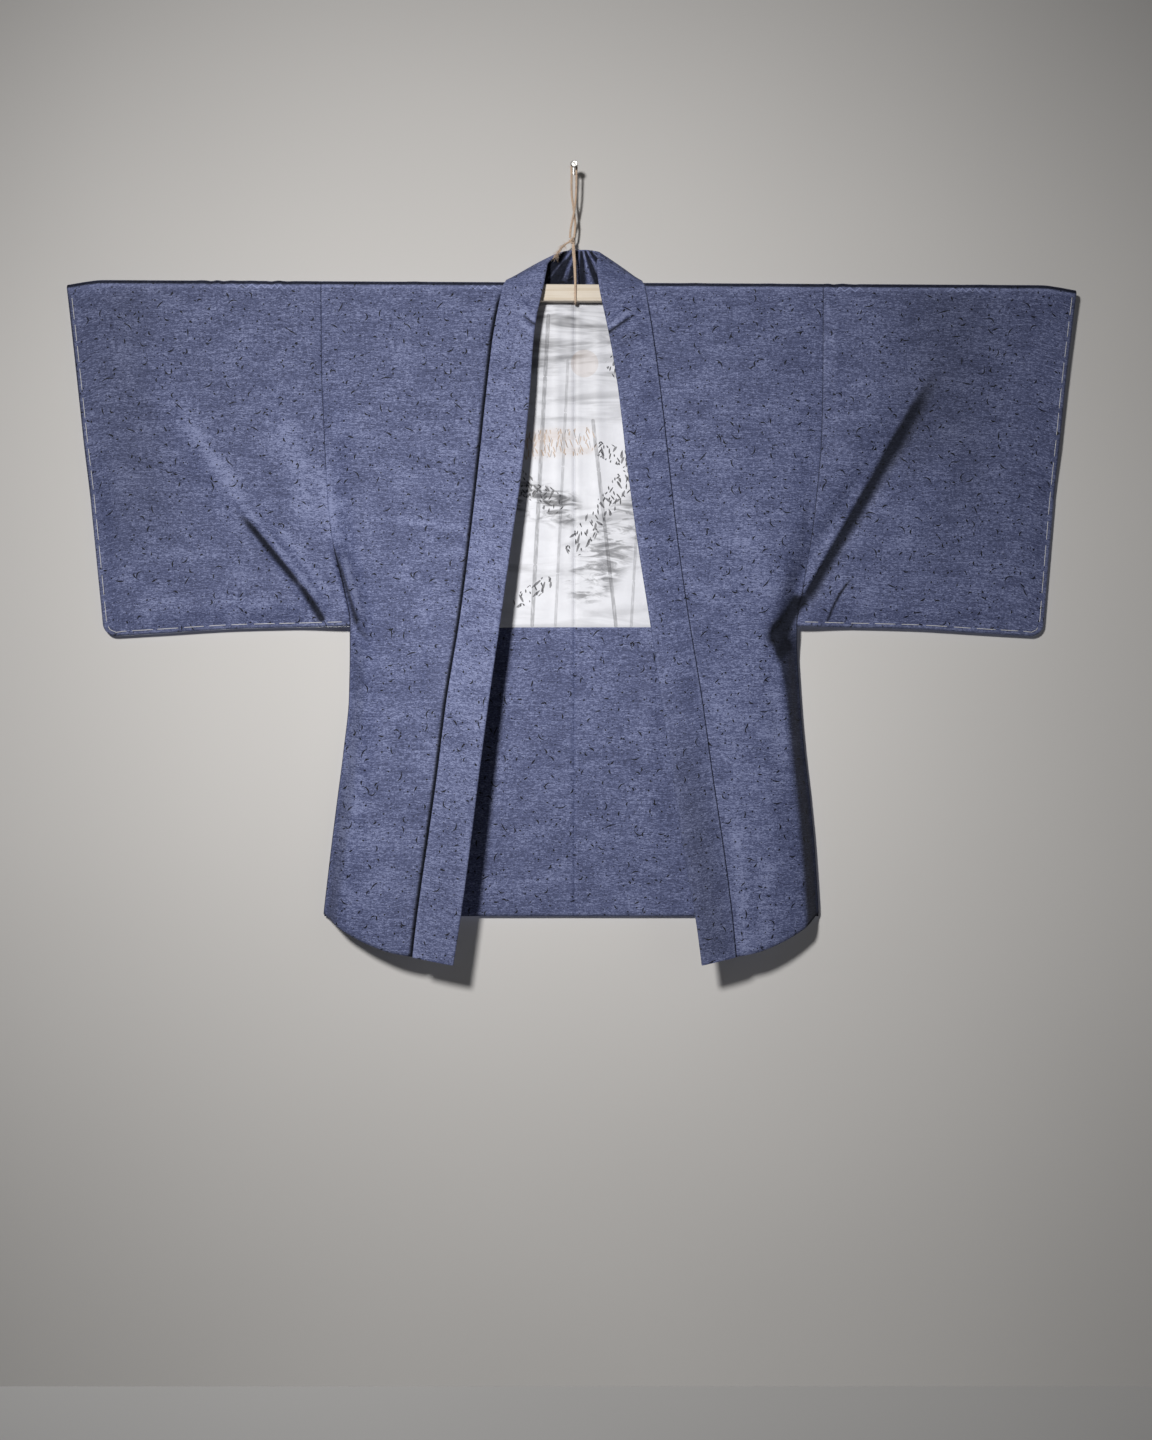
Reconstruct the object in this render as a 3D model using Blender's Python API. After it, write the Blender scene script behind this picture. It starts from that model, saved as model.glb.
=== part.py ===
"""A man's haori jacket, hung open on a wooden batten that a loop of twine holds to a wall nail.

Metres, +Z up. The wall is the plane y = 0 and the jacket's front faces -Y. The origin is where the nail
enters the wall. Left is -X and right is +X, as seen from the front. "Out" is the distance of a cloth's
middle from the wall, so y = -out.
"""
import math

import bmesh
import bpy
import numpy as np
from mathutils import Vector

# ---------------------------------------------------------------- driving sizes, metres
CLOTH = 0.0020            # wall of the shell cloth
LINING = 0.0015           # wall of the lining and of the turned-up hem
SEAM_GAP = 0.0003         # air between two pieces that are sewn together

BATTEN_LENGTH = 1.198
BATTEN_HEIGHT = 0.0226
BATTEN_DEPTH = 0.0120
BATTEN_EDGE = 0.0020
BATTEN_X = -0.0040
BATTEN_TOP = -0.1538
BATTEN_OUT = 0.0217
BATTEN_SLOPE = 0.0054     # the batten hangs a little lower to the right

ARCH_RADIUS = 0.0045      # bend of the cloth over each upper edge of the batten
RIDGE_Z = BATTEN_TOP + SEAM_GAP + CLOTH / 2
NECK_X = 0.0884           # half of the neck hole at the shoulder
CENTRE_GAP = 0.0004
SHOULDER_X = 0.33         # nominal distance of the armhole from the middle, for the ridge's height
WRIST_X = 0.672           # the same for the cuff
UNDERARM_Z = -0.6050
BACK_HEM_Z = -0.9905
LINING_TOP_Z = -0.1600
LINING_HEM_Z = -0.6065
TURNUP_TOP_Z = LINING_HEM_Z - SEAM_GAP

CUFF_OPEN_Z = -0.4385     # the cuff is open above this level and sewn shut below it
CUFF_CORNER = 0.016       # radius of the sleeve's lower corner
CUFF_EASE = 0.080         # height over which the open cuff closes
PINCH = 0.030             # width over which the two layers come together at a closed edge
PINCH_START = 0.080       # the closed lower edge stays open this far from the armhole
EDGE_OUT = 0.0110         # middle of the closed edges
EDGE_HALF = 0.0015        # half the distance between the two layers there

COLLAR_GAP = 0.0007       # between its three lengths, along the middle of the cloth
COLLAR_LAP = 0.0040       # the turned-out collar covers its seam by this
COLLAR_LIFT = 0.0090      # a collar section's seam end is this much higher than its fold end
COLLAR_FOLD = 0.0018      # bend radius of the collar's fold
COLLAR_BULGE = 0.0012     # the turned-out half stands off a little between its edges

TWINE = 0.0028            # diameter
NAIL_SHANK = 0.0030       # diameter
NAIL_HEAD = 0.0090        # diameter
NAIL_OUT = 0.0455         # from the wall to the face of the head
NAIL_IN = 0.0220          # length in the wall
NAIL_POINT = 0.0050       # length of its point
NAIL_TIP = 0.0003         # radius of the point's end
NAIL_CONE = 0.0022        # the shank widens into the head this far behind the face
NAIL_RIM = 0.0012         # depth of the head's rim behind its face
NAIL_EDGE = 0.0005        # rounding of the rim
NAIL_SIDES = 16
TWINE_ON_NAIL = 0.0340    # where the twine loops over the nail


def table(columns, *rows):
    """Rows of numbers under named columns, as one dictionary for each row."""
    names = columns.split()
    return [dict(zip(names, row)) for row in rows]


# Side of the body: the armhole seam down to the underarm, then the side seam down to the hem.
SIDE_LINE = table(
    "z left right",
    (-0.150, 0.3340, 0.3290), (-0.260, 0.3333, 0.3288), (-0.350, 0.3300, 0.3272), (-0.440, 0.3250, 0.3195),
    (-0.500, 0.3180, 0.3125), (-0.555, 0.3055, 0.3040), (-0.605, 0.2965, 0.2951), (-0.700, 0.2980, 0.3000),
    (-0.770, 0.3050, 0.3060), (-0.840, 0.3140, 0.3140), (-0.900, 0.3215, 0.3195), (-0.990, 0.3320, 0.3250))

# The sleeve's outer edge.
CUFF_LINE = table(
    "z left right",
    (-0.150, 0.6712, 0.6660), (-0.300, 0.6560, 0.6495), (-0.450, 0.6408, 0.6360), (-0.620, 0.6240, 0.6220))

# The sleeve's lower edge, from the armhole (u = 0) to the cuff (u = 1).
SLEEVE_BOTTOM = table("u z", (0.0, -0.6050), (0.45, -0.6082), (0.78, -0.6145), (1.0, -0.6187))

# Beyond the batten's ends the sleeve's top droops.
DROOP = table("x drop", (0.0, 0.0), (0.625, 0.0), (0.645, 0.0018), (0.672, 0.0055))

# The front hem rises from the collar (u = 0) to the side (u = 1).
FRONT_HEM = table("u z", (0.0, -1.0365), (0.25, -1.0315), (0.50, -1.0215), (0.75, -1.0065), (0.90, -0.9950),
                  (1.0, -0.9870))

# The collar down each front: its fold and its free edge from the middle, and how far the fold stands out.
COLLAR_RUN = table(
    "z fold_left edge_left fold_right edge_right fold_out",
    (-0.157, 0.0400, 0.0924, 0.0330, 0.0924, 0.0365), (-0.180, 0.0451, 0.0975, 0.0371, 0.0960, 0.0400),
    (-0.220, 0.0526, 0.1050, 0.0459, 0.1025, 0.0430), (-0.300, 0.0582, 0.1144, 0.0589, 0.1130, 0.0460),
    (-0.400, 0.0682, 0.1247, 0.0703, 0.1239, 0.0520), (-0.500, 0.0820, 0.1356, 0.0835, 0.1349, 0.0610),
    (-0.600, 0.0957, 0.1479, 0.0987, 0.1486, 0.0710), (-0.700, 0.1098, 0.1640, 0.1131, 0.1646, 0.0780),
    (-0.800, 0.1229, 0.1763, 0.1277, 0.1782, 0.0830), (-0.900, 0.1351, 0.1900, 0.1422, 0.1928, 0.0880),
    (-0.980, 0.1457, 0.2012, 0.1563, 0.2028, 0.0920), (-1.046, 0.1558, 0.2087, 0.1649, 0.2088, 0.0950))

# How far the front stands out: at the collar seam, across the panel, at the side, and along the sleeve.
FRONT_OUT = table(
    "z seam mid near side arm end cuff",
    (-0.155, 0.0310, 0.0310, 0.0310, 0.0310, 0.0310, 0.0310, 0.0260),
    (-0.180, 0.0340, 0.0330, 0.0320, 0.0312, 0.0305, 0.0300, 0.0240),
    (-0.220, 0.0370, 0.0360, 0.0340, 0.0310, 0.0290, 0.0265, 0.0220),
    (-0.300, 0.0400, 0.0390, 0.0360, 0.0300, 0.0270, 0.0240, 0.0200),
    (-0.400, 0.0450, 0.0430, 0.0380, 0.0280, 0.0250, 0.0220, 0.0180),
    (-0.500, 0.0530, 0.0490, 0.0410, 0.0260, 0.0230, 0.0200, 0.0170),
    (-0.600, 0.0640, 0.0560, 0.0440, 0.0240, 0.0210, 0.0180, 0.0160),
    (-0.700, 0.0720, 0.0640, 0.0490, 0.0235, 0.0210, 0.0180, 0.0160),
    (-0.800, 0.0780, 0.0700, 0.0530, 0.0235, 0.0210, 0.0180, 0.0160),
    (-0.900, 0.0840, 0.0760, 0.0570, 0.0240, 0.0210, 0.0180, 0.0160),
    (-1.046, 0.0910, 0.0820, 0.0610, 0.0250, 0.0210, 0.0180, 0.0160))
PANEL_STOPS = (0.0, 0.35, 0.80)     # collar seam, mid and near, across the front panel
SLEEVE_STOPS = (0.0, 0.45, 0.82, 1.0)     # side, arm, end and cuff, along the sleeve

BACK_OUT = table("z out", (-0.150, 0.0090), (-0.250, 0.0082), (-0.450, 0.0070), (-0.800, 0.0070),
                 (-1.000, 0.0080))

# Folds in the hung cloth: from one end to the other, how far the line bows to its right, how deep (negative
# is a trough), how wide, and the shares of the length over which it fades in and out.
FOLD_FREE = 0.06          # no fold reaches the batten: they fade out over this height below it
FOLDS = table(
    "face side x0 z0 x1 z1 bow depth width fade_in fade_out",
    ("front", -1, 0.3250, -0.6030, 0.4560, -0.4300, -0.006, -0.0070, 0.013, 0.15, 0.55),
    ("front", -1, 0.3450, -0.4900, 0.5500, -0.2700, 0.000, 0.0050, 0.045, 0.45, 0.50),
    ("front", -1, 0.3260, -0.4700, 0.2740, -0.6300, 0.004, -0.0060, 0.012, 0.40, 0.30),
    ("front", -1, 0.3050, -0.3600, 0.3100, -0.5800, 0.000, 0.0030, 0.030, 0.50, 0.40),
    ("front", 1, 0.2480, -0.6400, 0.4850, -0.2600, -0.008, -0.0080, 0.014, 0.20, 0.60),
    ("front", 1, 0.2850, -0.5300, 0.4300, -0.2600, -0.006, 0.0060, 0.035, 0.40, 0.50),
    ("front", 1, 0.3600, -0.5700, 0.5300, -0.3200, 0.000, 0.0040, 0.040, 0.40, 0.50),
    ("back", -1, 0.3000, -0.6000, 0.4700, -0.4000, 0.004, 0.0040, 0.018, 0.20, 0.60),
    ("back", 1, 0.2950, -0.6000, 0.4900, -0.3600, -0.004, 0.0040, 0.018, 0.20, 0.60),
    ("back", 1, 0.1000, -0.6500, 0.1060, -0.9200, 0.000, 0.0025, 0.014, 0.40, 0.40))

# The gusset's inward fold, from the underarm (w = 0) to the hem (w = 1).
GUSSET_FOLD = table("w depth", (0.0, 0.0030), (0.3, 0.0100), (1.0, 0.0280))
GUSSET_ENDS = (0.004, 0.985)     # it stops just short of the underarm and of the hem
GUSSET_INSET = 0.0030
GUSSET_FRONT = 0.0024     # behind the front panel's middle
GUSSET_BACK = 0.0042      # before the back panel's middle, clear of the turned-up hem

# The collar round the neck, from the left front over the shoulder to the back and round to the right front:
# its fold (fx, fo, fz), its seam (gx, go, and dip below the batten's ridge) and the way its turned-out half
# faces (nx, no, nz).
NECK_RUN = table(
    "fx fo fz gx go dip nx no nz lap",
    (-0.0365, 0.0310, -0.1380, -0.0876, 0.0265, 0.0000, -0.35, 0.70, 0.60, 0.0012),
    (-0.0335, 0.0225, -0.1245, -0.0876, 0.0200, 0.0000, -0.46, 0.05, 0.88, 0.0004),
    (-0.0250, 0.0150, -0.1150, -0.0876, 0.0135, 0.0000, -0.40, -0.45, 0.75, 0.0002),
    (-0.0150, 0.0110, -0.1080, -0.0800, 0.0092, 0.0037, -0.10, -0.95, 0.25, 0.0040),
    (-0.0040, 0.0095, -0.1055, -0.0450, 0.0090, 0.0037, 0.00, -1.00, 0.00, 0.0040),
    (0.0070, 0.0092, -0.1048, 0.0000, 0.0090, 0.0037, 0.00, -1.00, 0.00, 0.0040),
    (0.0170, 0.0100, -0.1050, 0.0450, 0.0090, 0.0037, 0.00, -1.00, 0.00, 0.0040),
    (0.0260, 0.0125, -0.1070, 0.0800, 0.0092, 0.0037, 0.10, -0.95, 0.25, 0.0040),
    (0.0310, 0.0175, -0.1115, 0.0876, 0.0135, 0.0000, 0.40, -0.45, 0.75, 0.0002),
    (0.0310, 0.0235, -0.1180, 0.0876, 0.0200, 0.0000, 0.46, 0.05, 0.88, 0.0004),
    (0.0300, 0.0310, -0.1330, 0.0876, 0.0265, 0.0000, 0.35, 0.70, 0.60, 0.0012))

# ---------------------------------------------------------------- how finely each piece is divided
SLEEVE_U = [*np.linspace(0.0, 0.95, 11), 1.0]
UPPER_V = [0.0, 0.035, 0.10, 0.18, 0.27, 0.36, 0.45, 0.53, 0.61, *np.linspace(0.61, 0.9644, 6)[1:], 1.0]
OPEN_ROW = 8              # the row of UPPER_V where the cuff's opening ends
LOWER_W = [*np.linspace(0.0, 1.0, 11)[1:]]
BODY_U = [*np.linspace(0.0, 1.0, 10)]
CENTRE_C = [0.0, 0.5]
ARCH_STEPS = 3
COLLAR_Z = [-0.162, -0.175, -0.200, -0.240, *np.linspace(-0.290, -1.0455, 17)]
COLLAR_STEP = 0.012
COLLAR_SHARES = (0.33, 0.66)     # points across the collar's width, from its fold
COLLAR_TURNS = (45.0, 90.0, 135.0)     # points round its fold, in degrees
GUSSET_S = [*np.linspace(0.0, 1.0, 8)]
LINING_S = [*np.linspace(0.0, 1.0, 7)]
LINING_ROWS = 12
TURNUP_ROWS = 10


# ---------------------------------------------------------------- curves and fields
def mix(a, b, t):
    """The value t of the way from a to b."""
    return a + (b - a) * t


def ease(t):
    """Smooth step from 0 to 1."""
    t = np.clip(t, 0.0, 1.0)
    return t * t * (3.0 - 2.0 * t)


def hermite(t, start, end, start_slope, end_slope):
    """Cubic from start to end with the given slopes over the whole step."""
    return (start * (1 + 2 * t) * (1 - t) ** 2 + end * t * t * (3 - 2 * t)
            + start_slope * t * (1 - t) ** 2 - end_slope * t * t * (1 - t))


def shared_slope(before, after):
    """Slope at a point between two rises, level where they turn."""
    product = before * after
    total = np.where(product > 0, before + after, 1.0)
    return np.where(product > 0, 2.0 * product / total, 0.0)


def across(x, stops, heights):
    """Height at x on a smooth line through stops, without overshoot."""
    rises = [(heights[k + 1] - heights[k]) / (stops[k + 1] - stops[k]) for k in range(len(stops) - 1)]
    slopes = [rises[0]]
    slopes += [shared_slope(a, b) for a, b in zip(rises, rises[1:])]
    slopes += [rises[-1]]
    result = heights[0]
    for k in range(len(stops) - 1):
        span = stops[k + 1] - stops[k]
        t = np.clip((x - stops[k]) / span, 0.0, 1.0)
        piece = hermite(t, heights[k], heights[k + 1], slopes[k] * span, slopes[k + 1] * span)
        result = np.where(x >= stops[k], piece, result)
    return result


def curve(rows, column, at, key="z"):
    """A table's column read at a key, on a smooth line through its rows."""
    ordered = sorted(rows, key=lambda row: row[key])
    keys = [row[key] for row in ordered]
    values = [row[column] for row in ordered]
    return across(np.clip(at, keys[0], keys[-1]), keys, values)


def neighbours(items, index):
    """The four items round a step, with the ends repeated."""
    return [items[min(max(index + k, 0), len(items) - 1)] for k in (-1, 0, 1, 2)]


def smooth_step(near, t):
    """The place t of the way from the second to the third of four points, on a smooth line through them."""
    weights = (-t / 2 + t ** 2 - t ** 3 / 2, 1 - 2.5 * t ** 2 + 1.5 * t ** 3,
               t / 2 + 2 * t ** 2 - 1.5 * t ** 3, -t ** 2 / 2 + t ** 3 / 2)
    return sum((point * weight for point, weight in zip(near, weights)), Vector())


def hand(side):
    """Name of a side's table columns."""
    return "left" if side < 0 else "right"


def side_x(side, z):
    """Distance of the armhole or side seam from the middle."""
    return curve(SIDE_LINE, hand(side), z)


def cuff_x(side, z):
    """Distance of the cuff's edge from the middle."""
    return curve(CUFF_LINE, hand(side), z)


def seam_x(side, z):
    """Distance of the collar seam from the middle, on the front."""
    return curve(COLLAR_RUN, "edge_" + hand(side), z) - COLLAR_LAP


def fold_x(side, z):
    """Distance of the collar's fold from the middle, on the front."""
    return curve(COLLAR_RUN, "fold_" + hand(side), z)


def ridge_z(x):
    """Height of the cloth's middle where it crosses the batten's top, at a signed x."""
    return RIDGE_Z - BATTEN_SLOPE * x - curve(DROOP, "drop", abs(x), "x")


def fold_push(face, side, x, z):
    """How far the folds of one face move the cloth outwards at a distance x from the middle."""
    push = 0.0
    for row in FOLDS:
        if row["face"] != face or row["side"] != side:
            continue
        run_x = row["x1"] - row["x0"]
        run_z = row["z1"] - row["z0"]
        length = math.hypot(run_x, run_z)
        t = ((x - row["x0"]) * run_x + (z - row["z0"]) * run_z) / length ** 2
        off = ((x - row["x0"]) * run_z - (z - row["z0"]) * run_x) / length
        off = off - row["bow"] * 4.0 * t * (1.0 - t)
        strength = ease(t / row["fade_in"]) * ease((1.0 - t) / row["fade_out"])
        push = push + row["depth"] * strength * np.exp(-(off / row["width"]) ** 2)
    return push


def closed_edge(side, x, z, u):
    """From 0 in the open sleeve to 1 at its closed lower edge and lower cuff."""
    from_bottom = z - curve(SLEEVE_BOTTOM, "z", u, "u")
    bottom = (1.0 - ease(from_bottom / PINCH)) * ease((x - side_x(side, z)) / PINCH_START)
    cuff = (1.0 - ease((cuff_x(side, z) - x) / PINCH)) * ease((CUFF_OPEN_Z + CUFF_EASE - z) / CUFF_EASE)
    return np.maximum(bottom, cuff)


def front_out(side, x, z):
    """How far the front's middle stands out, from the collar seam to the cuff."""
    inner = seam_x(side, z)
    outer = side_x(side, z)
    cuff = cuff_x(side, z)
    stops = [mix(inner, outer, share) for share in PANEL_STOPS]
    stops += [mix(outer, cuff, share) for share in SLEEVE_STOPS]
    names = ("seam", "mid", "near", "side", "arm", "end", "cuff")
    heights = [curve(FRONT_OUT, name, z) for name in names]
    fade = ease((ridge_z(x * side) - ARCH_RADIUS - z) / FOLD_FREE)
    return across(x, stops, heights) + fade * fold_push("front", side, x, z)


def back_out(side, x, z):
    """How far the back's middle stands out from the wall."""
    fade = ease((ridge_z(x * side) - ARCH_RADIUS - z) / FOLD_FREE)
    return curve(BACK_OUT, "out", z) + fade * fold_push("back", side, x, z)


# ---------------------------------------------------------------- making solids
def new_material(name, color, roughness, metallic=0.0):
    """A plain Principled material."""
    material = bpy.data.materials.new(name)
    material.use_nodes = True
    shader = material.node_tree.nodes["Principled BSDF"]
    shader.inputs["Base Color"].default_value = (*color, 1.0)
    shader.inputs["Roughness"].default_value = roughness
    shader.inputs["Metallic"].default_value = metallic
    return material


def add_object(name, mesh, material):
    """Link a mesh to the scene as one named object with one material."""
    mesh.materials.append(material)
    item = bpy.data.objects.new(name, mesh)
    bpy.context.scene.collection.objects.link(item)
    return item


def shade_round(mesh, angle):
    """Shade smooth, with edges sharper than the angle kept sharp."""
    mesh.shade_smooth()
    mesh.set_sharp_from_angle(angle=math.radians(angle))


def closed_wall(name, points, faces, thickness, seam_points, material):
    """A sheet of points and faces made into a closed wall, half its thickness to each side.

    At the seam points the wall is cut square to X, so that two pieces can meet there edge to edge.
    """
    sheet = bmesh.new()
    verts = [sheet.verts.new(point) for point in points]
    for face in faces:
        sheet.faces.new([verts[index] for index in face])
    sheet.verts.index_update()
    sheet.normal_update()
    shifts = []
    for vert in verts:
        normal = vert.normal.copy()
        if vert.index in seam_points:
            normal.x = 0.0
            normal.normalize()
        lean = sum(normal.dot(face.normal) for face in vert.link_faces) / len(vert.link_faces)
        shifts.append(normal * (thickness / 2.0 / max(lean, 0.5)))
    count = len(verts)
    corners = [vert.co + shift for vert, shift in zip(verts, shifts)]
    corners += [vert.co - shift for vert, shift in zip(verts, shifts)]
    walls = [list(face) for face in faces]
    walls += [[index + count for index in reversed(face)] for face in faces]
    for face in sheet.faces:
        for loop in face.loops:
            if loop.edge.is_boundary:
                start = loop.vert.index
                end = loop.link_loop_next.vert.index
                walls.append([end, start, start + count, end + count])
    sheet.free()
    mesh = bpy.data.meshes.new(name)
    mesh.from_pydata(corners, [], walls)
    mesh.update()
    shade_round(mesh, 50)
    return add_object(name, mesh, material)


def grid_faces(columns, rows, keep):
    """Quads of a grid numbered column by column, where keep(column, row) holds."""
    return [(c * rows + r, (c + 1) * rows + r, (c + 1) * rows + r + 1, c * rows + r + 1)
            for c in range(columns - 1) for r in range(rows - 1) if keep(c, r)]


def drop_unused(points, faces, seam_points):
    """Keep only the points that a face uses."""
    used = sorted({index for face in faces for index in face})
    place = {index: number for number, index in enumerate(used)}
    return ([points[index] for index in used],
            [[place[index] for index in face] for face in faces],
            {place[index] for index in seam_points if index in place})


# ---------------------------------------------------------------- body and sleeves
def arch_rows(back, front, ridge):
    """Middle of the cloth over the batten, from the back's top row to the front's, as (out, z)."""
    rows = []
    for step in range(1, ARCH_STEPS + 1):
        turn = math.radians(90.0 * step / ARCH_STEPS)
        rows.append((back + ARCH_RADIUS * (1 - math.cos(turn)), ridge - ARCH_RADIUS * (1 - math.sin(turn))))
    for step in range(ARCH_STEPS):
        turn = math.radians(90.0 * step / ARCH_STEPS)
        rows.append((front - ARCH_RADIUS * (1 - math.sin(turn)), ridge - ARCH_RADIUS * (1 - math.cos(turn))))
    return rows


def body_column(side, u):
    """One line of points from the back hem over the shoulder to the front hem."""
    ridge = ridge_z(side * mix(NECK_X, SHOULDER_X, u))
    top = ridge - ARCH_RADIUS
    upper = [mix(top, UNDERARM_Z, v) for v in UPPER_V]
    back_lower = [mix(UNDERARM_Z, BACK_HEM_Z, w) for w in LOWER_W]
    front_lower = [mix(UNDERARM_Z, float(curve(FRONT_HEM, "z", u, "u")), w) for w in LOWER_W]
    points = []
    for z in reversed(upper + back_lower):
        x = float(mix(NECK_X, side_x(side, z) - SEAM_GAP / 2, u))
        points.append((side * x, -float(back_out(side, x, z)), z))
    x = float(mix(NECK_X, side_x(side, top) - SEAM_GAP / 2, u))
    for out, z in arch_rows(float(back_out(side, x, top)), float(front_out(side, x, top)), ridge):
        points.append((side * x, -out, z))
    for z in upper + front_lower:
        x = float(mix(seam_x(side, z), side_x(side, z) - SEAM_GAP / 2, u))
        points.append((side * x, -float(front_out(side, x, z)), z))
    return points


def centre_column(side, c, rows):
    """One line of points up the back between the centre seam and the neck, padded to the given rows."""
    top = ridge_z(side * NECK_X) - ARCH_RADIUS
    levels = [mix(top, UNDERARM_Z, v) for v in UPPER_V]
    levels += [mix(UNDERARM_Z, BACK_HEM_Z, w) for w in LOWER_W]
    points = []
    for z in reversed(levels):
        x = mix(CENTRE_GAP / 2, NECK_X, c)
        points.append((side * x, -float(back_out(side, x, z)), z))
    points += [points[-1]] * (rows - len(points))
    return points


def make_body(side, material):
    """Back and front of one side, cut in one length over the shoulder."""
    main = [body_column(side, u) for u in BODY_U]
    rows = len(main[0])
    columns = [centre_column(side, c, rows) for c in CENTRE_C] + main
    back_rows = len(UPPER_V) + len(LOWER_W)
    neck = len(CENTRE_C)
    faces = grid_faces(len(columns), rows, lambda c, r: c >= neck or r < back_rows - 1)
    points = [point for column in columns for point in column]
    seams = {c * rows + r for c in (0, neck, len(columns) - 1) for r in range(rows)}
    points, faces, seams = drop_unused(points, faces, seams)
    return closed_wall("body_" + hand(side), points, faces, CLOTH, seams, material)


def rounded_corner(side, x, z, u):
    """Move a point of the sleeve's lower outer corner on to its rounded edge."""
    in_x = CUFF_CORNER - (float(cuff_x(side, z)) - x)
    in_z = CUFF_CORNER - (z - float(curve(SLEEVE_BOTTOM, "z", u, "u")))
    if min(in_x, in_z) <= 0.0:
        return x, z
    shrink = max(in_x, in_z) / math.hypot(in_x, in_z)
    return x - in_x * (1.0 - shrink), z + in_z * (1.0 - shrink)


def sleeve_column(side, u):
    """One ring of the sleeve: up the back, over the batten, down the front."""
    ridge = ridge_z(side * mix(SHOULDER_X, WRIST_X, u))
    top = ridge - ARCH_RADIUS
    bottom = float(curve(SLEEVE_BOTTOM, "z", u, "u"))
    places = []
    for v in UPPER_V:
        z = mix(top, bottom, v)
        x = float(mix(side_x(side, z) + SEAM_GAP / 2, cuff_x(side, z), u))
        places.append(rounded_corner(side, x, z, u))
    back = []
    front = []
    for x, z in places:
        shut = float(closed_edge(side, x, z, u))
        back.append((side * x, -mix(float(back_out(side, x, z)), EDGE_OUT - EDGE_HALF, shut), z))
        front.append((side * x, -mix(float(front_out(side, x, z)), EDGE_OUT + EDGE_HALF, shut), z))
    over = [(side * places[0][0], -out, z) for out, z in arch_rows(-back[0][1], -front[0][1], ridge)]
    return back[::-1] + over + front


def make_sleeve(side, material):
    """One length folded over the batten, sewn shut along the bottom and up the lower cuff."""
    columns = [sleeve_column(side, u) for u in SLEEVE_U]
    rows = len(columns[0])
    count = len(columns)
    faces = grid_faces(count, rows, lambda c, r: True)
    faces += [(c * rows + rows - 1, (c + 1) * rows + rows - 1, (c + 1) * rows, c * rows)
              for c in range(count - 1)]
    last = (count - 1) * rows
    closed = len(UPPER_V) - 1 - OPEN_ROW
    faces += [(last + r, last + r + 1, last + rows - 2 - r, last + rows - 1 - r)[::-1]
              for r in range(closed)]
    points = [point for column in columns for point in column]
    return closed_wall("sleeve_" + hand(side), points, faces, CLOTH, set(range(rows)), material)


# ---------------------------------------------------------------- gussets, lining and turned-up hem
def make_gusset(side, material):
    """The tapered strip between front and back, folded inwards."""
    points = []
    levels = [GUSSET_ENDS[0], *LOWER_W[:-1], GUSSET_ENDS[1]]
    for s in GUSSET_S:
        for w in levels:
            z = mix(UNDERARM_Z, float(curve(FRONT_HEM, "z", 1.0, "u")), w)
            seam = float(side_x(side, z))
            front = float(front_out(side, seam, z)) - GUSSET_FRONT
            back = float(back_out(side, seam, z)) + GUSSET_BACK
            depth = float(curve(GUSSET_FOLD, "depth", w, "w"))
            inward = GUSSET_INSET + depth * (1.0 - (2.0 * s - 1.0) ** 2)
            points.append((side * (seam - inward), -mix(front, back, s), z))
    faces = grid_faces(len(GUSSET_S), len(levels), lambda c, r: True)
    return closed_wall("gusset_" + hand(side), points, faces, CLOTH, set(), material)


def make_back_cover(name, side, top, bottom, rows, material):
    """A layer on the inside of the back panel, made from the panel's own surface."""
    lift = CLOTH / 2 + SEAM_GAP + LINING / 2
    points = []
    for s in LINING_S:
        for r in range(rows):
            z = mix(top, bottom, r / (rows - 1))
            x = float(mix(CENTRE_GAP, side_x(side, z) - GUSSET_INSET, s))
            points.append((side * x, -float(back_out(side, x, z)) - lift, z))
    faces = grid_faces(len(LINING_S), rows, lambda c, r: True)
    return closed_wall(name + "_" + hand(side), points, faces, LINING, set(), material)


# ---------------------------------------------------------------- collar
def front_station(side, z):
    """One section of the collar on the front: fold, seam, facing and lap."""
    fold = Vector((side * float(fold_x(side, z)), -float(curve(COLLAR_RUN, "fold_out", z)), z))
    seam_z = min(z + COLLAR_LIFT, ridge_z(side * NECK_X) - ARCH_RADIUS)
    x = float(seam_x(side, seam_z))
    seam = Vector((side * (x - SEAM_GAP), -float(front_out(side, x, seam_z)), seam_z))
    return fold, seam, Vector((0.0, -1.0, 0.0)), COLLAR_LAP


def neck_station(row):
    """One section of the collar round the neck."""
    ridge = float(ridge_z(row["gx"]))
    return (Vector((row["fx"], -row["fo"], row["fz"])), Vector((row["gx"], -row["go"], ridge - row["dip"])),
            Vector((row["nx"], -row["no"], row["nz"])), row["lap"])


def between(stations, index, t):
    """A collar section between two stations, on a smooth line through their neighbours."""
    near = neighbours(stations, index)
    parts = [smooth_step([row[k] for row in near], t) for k in range(3)]
    return (*parts, mix(near[1][3], near[2][3], t))


def collar_section(fold, seam, facing, lap):
    """Middle of the collar's wall across one section, from its seam round the fold to its free edge."""
    out = seam - fold
    width = out.length
    out.normalize()
    up = (facing - out * facing.dot(out)).normalized()
    bend = COLLAR_FOLD
    inner = [width * share for share in COLLAR_SHARES]
    points = [fold + out * place for place in (width, *reversed(inner), bend)]
    for turn in COLLAR_TURNS:
        angle = math.radians(turn)
        points.append(fold + out * (bend - bend * math.sin(angle)) + up * (bend - bend * math.cos(angle)))
    for place in (bend, *inner, width + lap):
        bulge = COLLAR_BULGE * math.sin(math.pi * min(place / (width + lap), 1.0))
        points.append(fold + out * place + up * (2.0 * bend + bulge))
    return points


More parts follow.
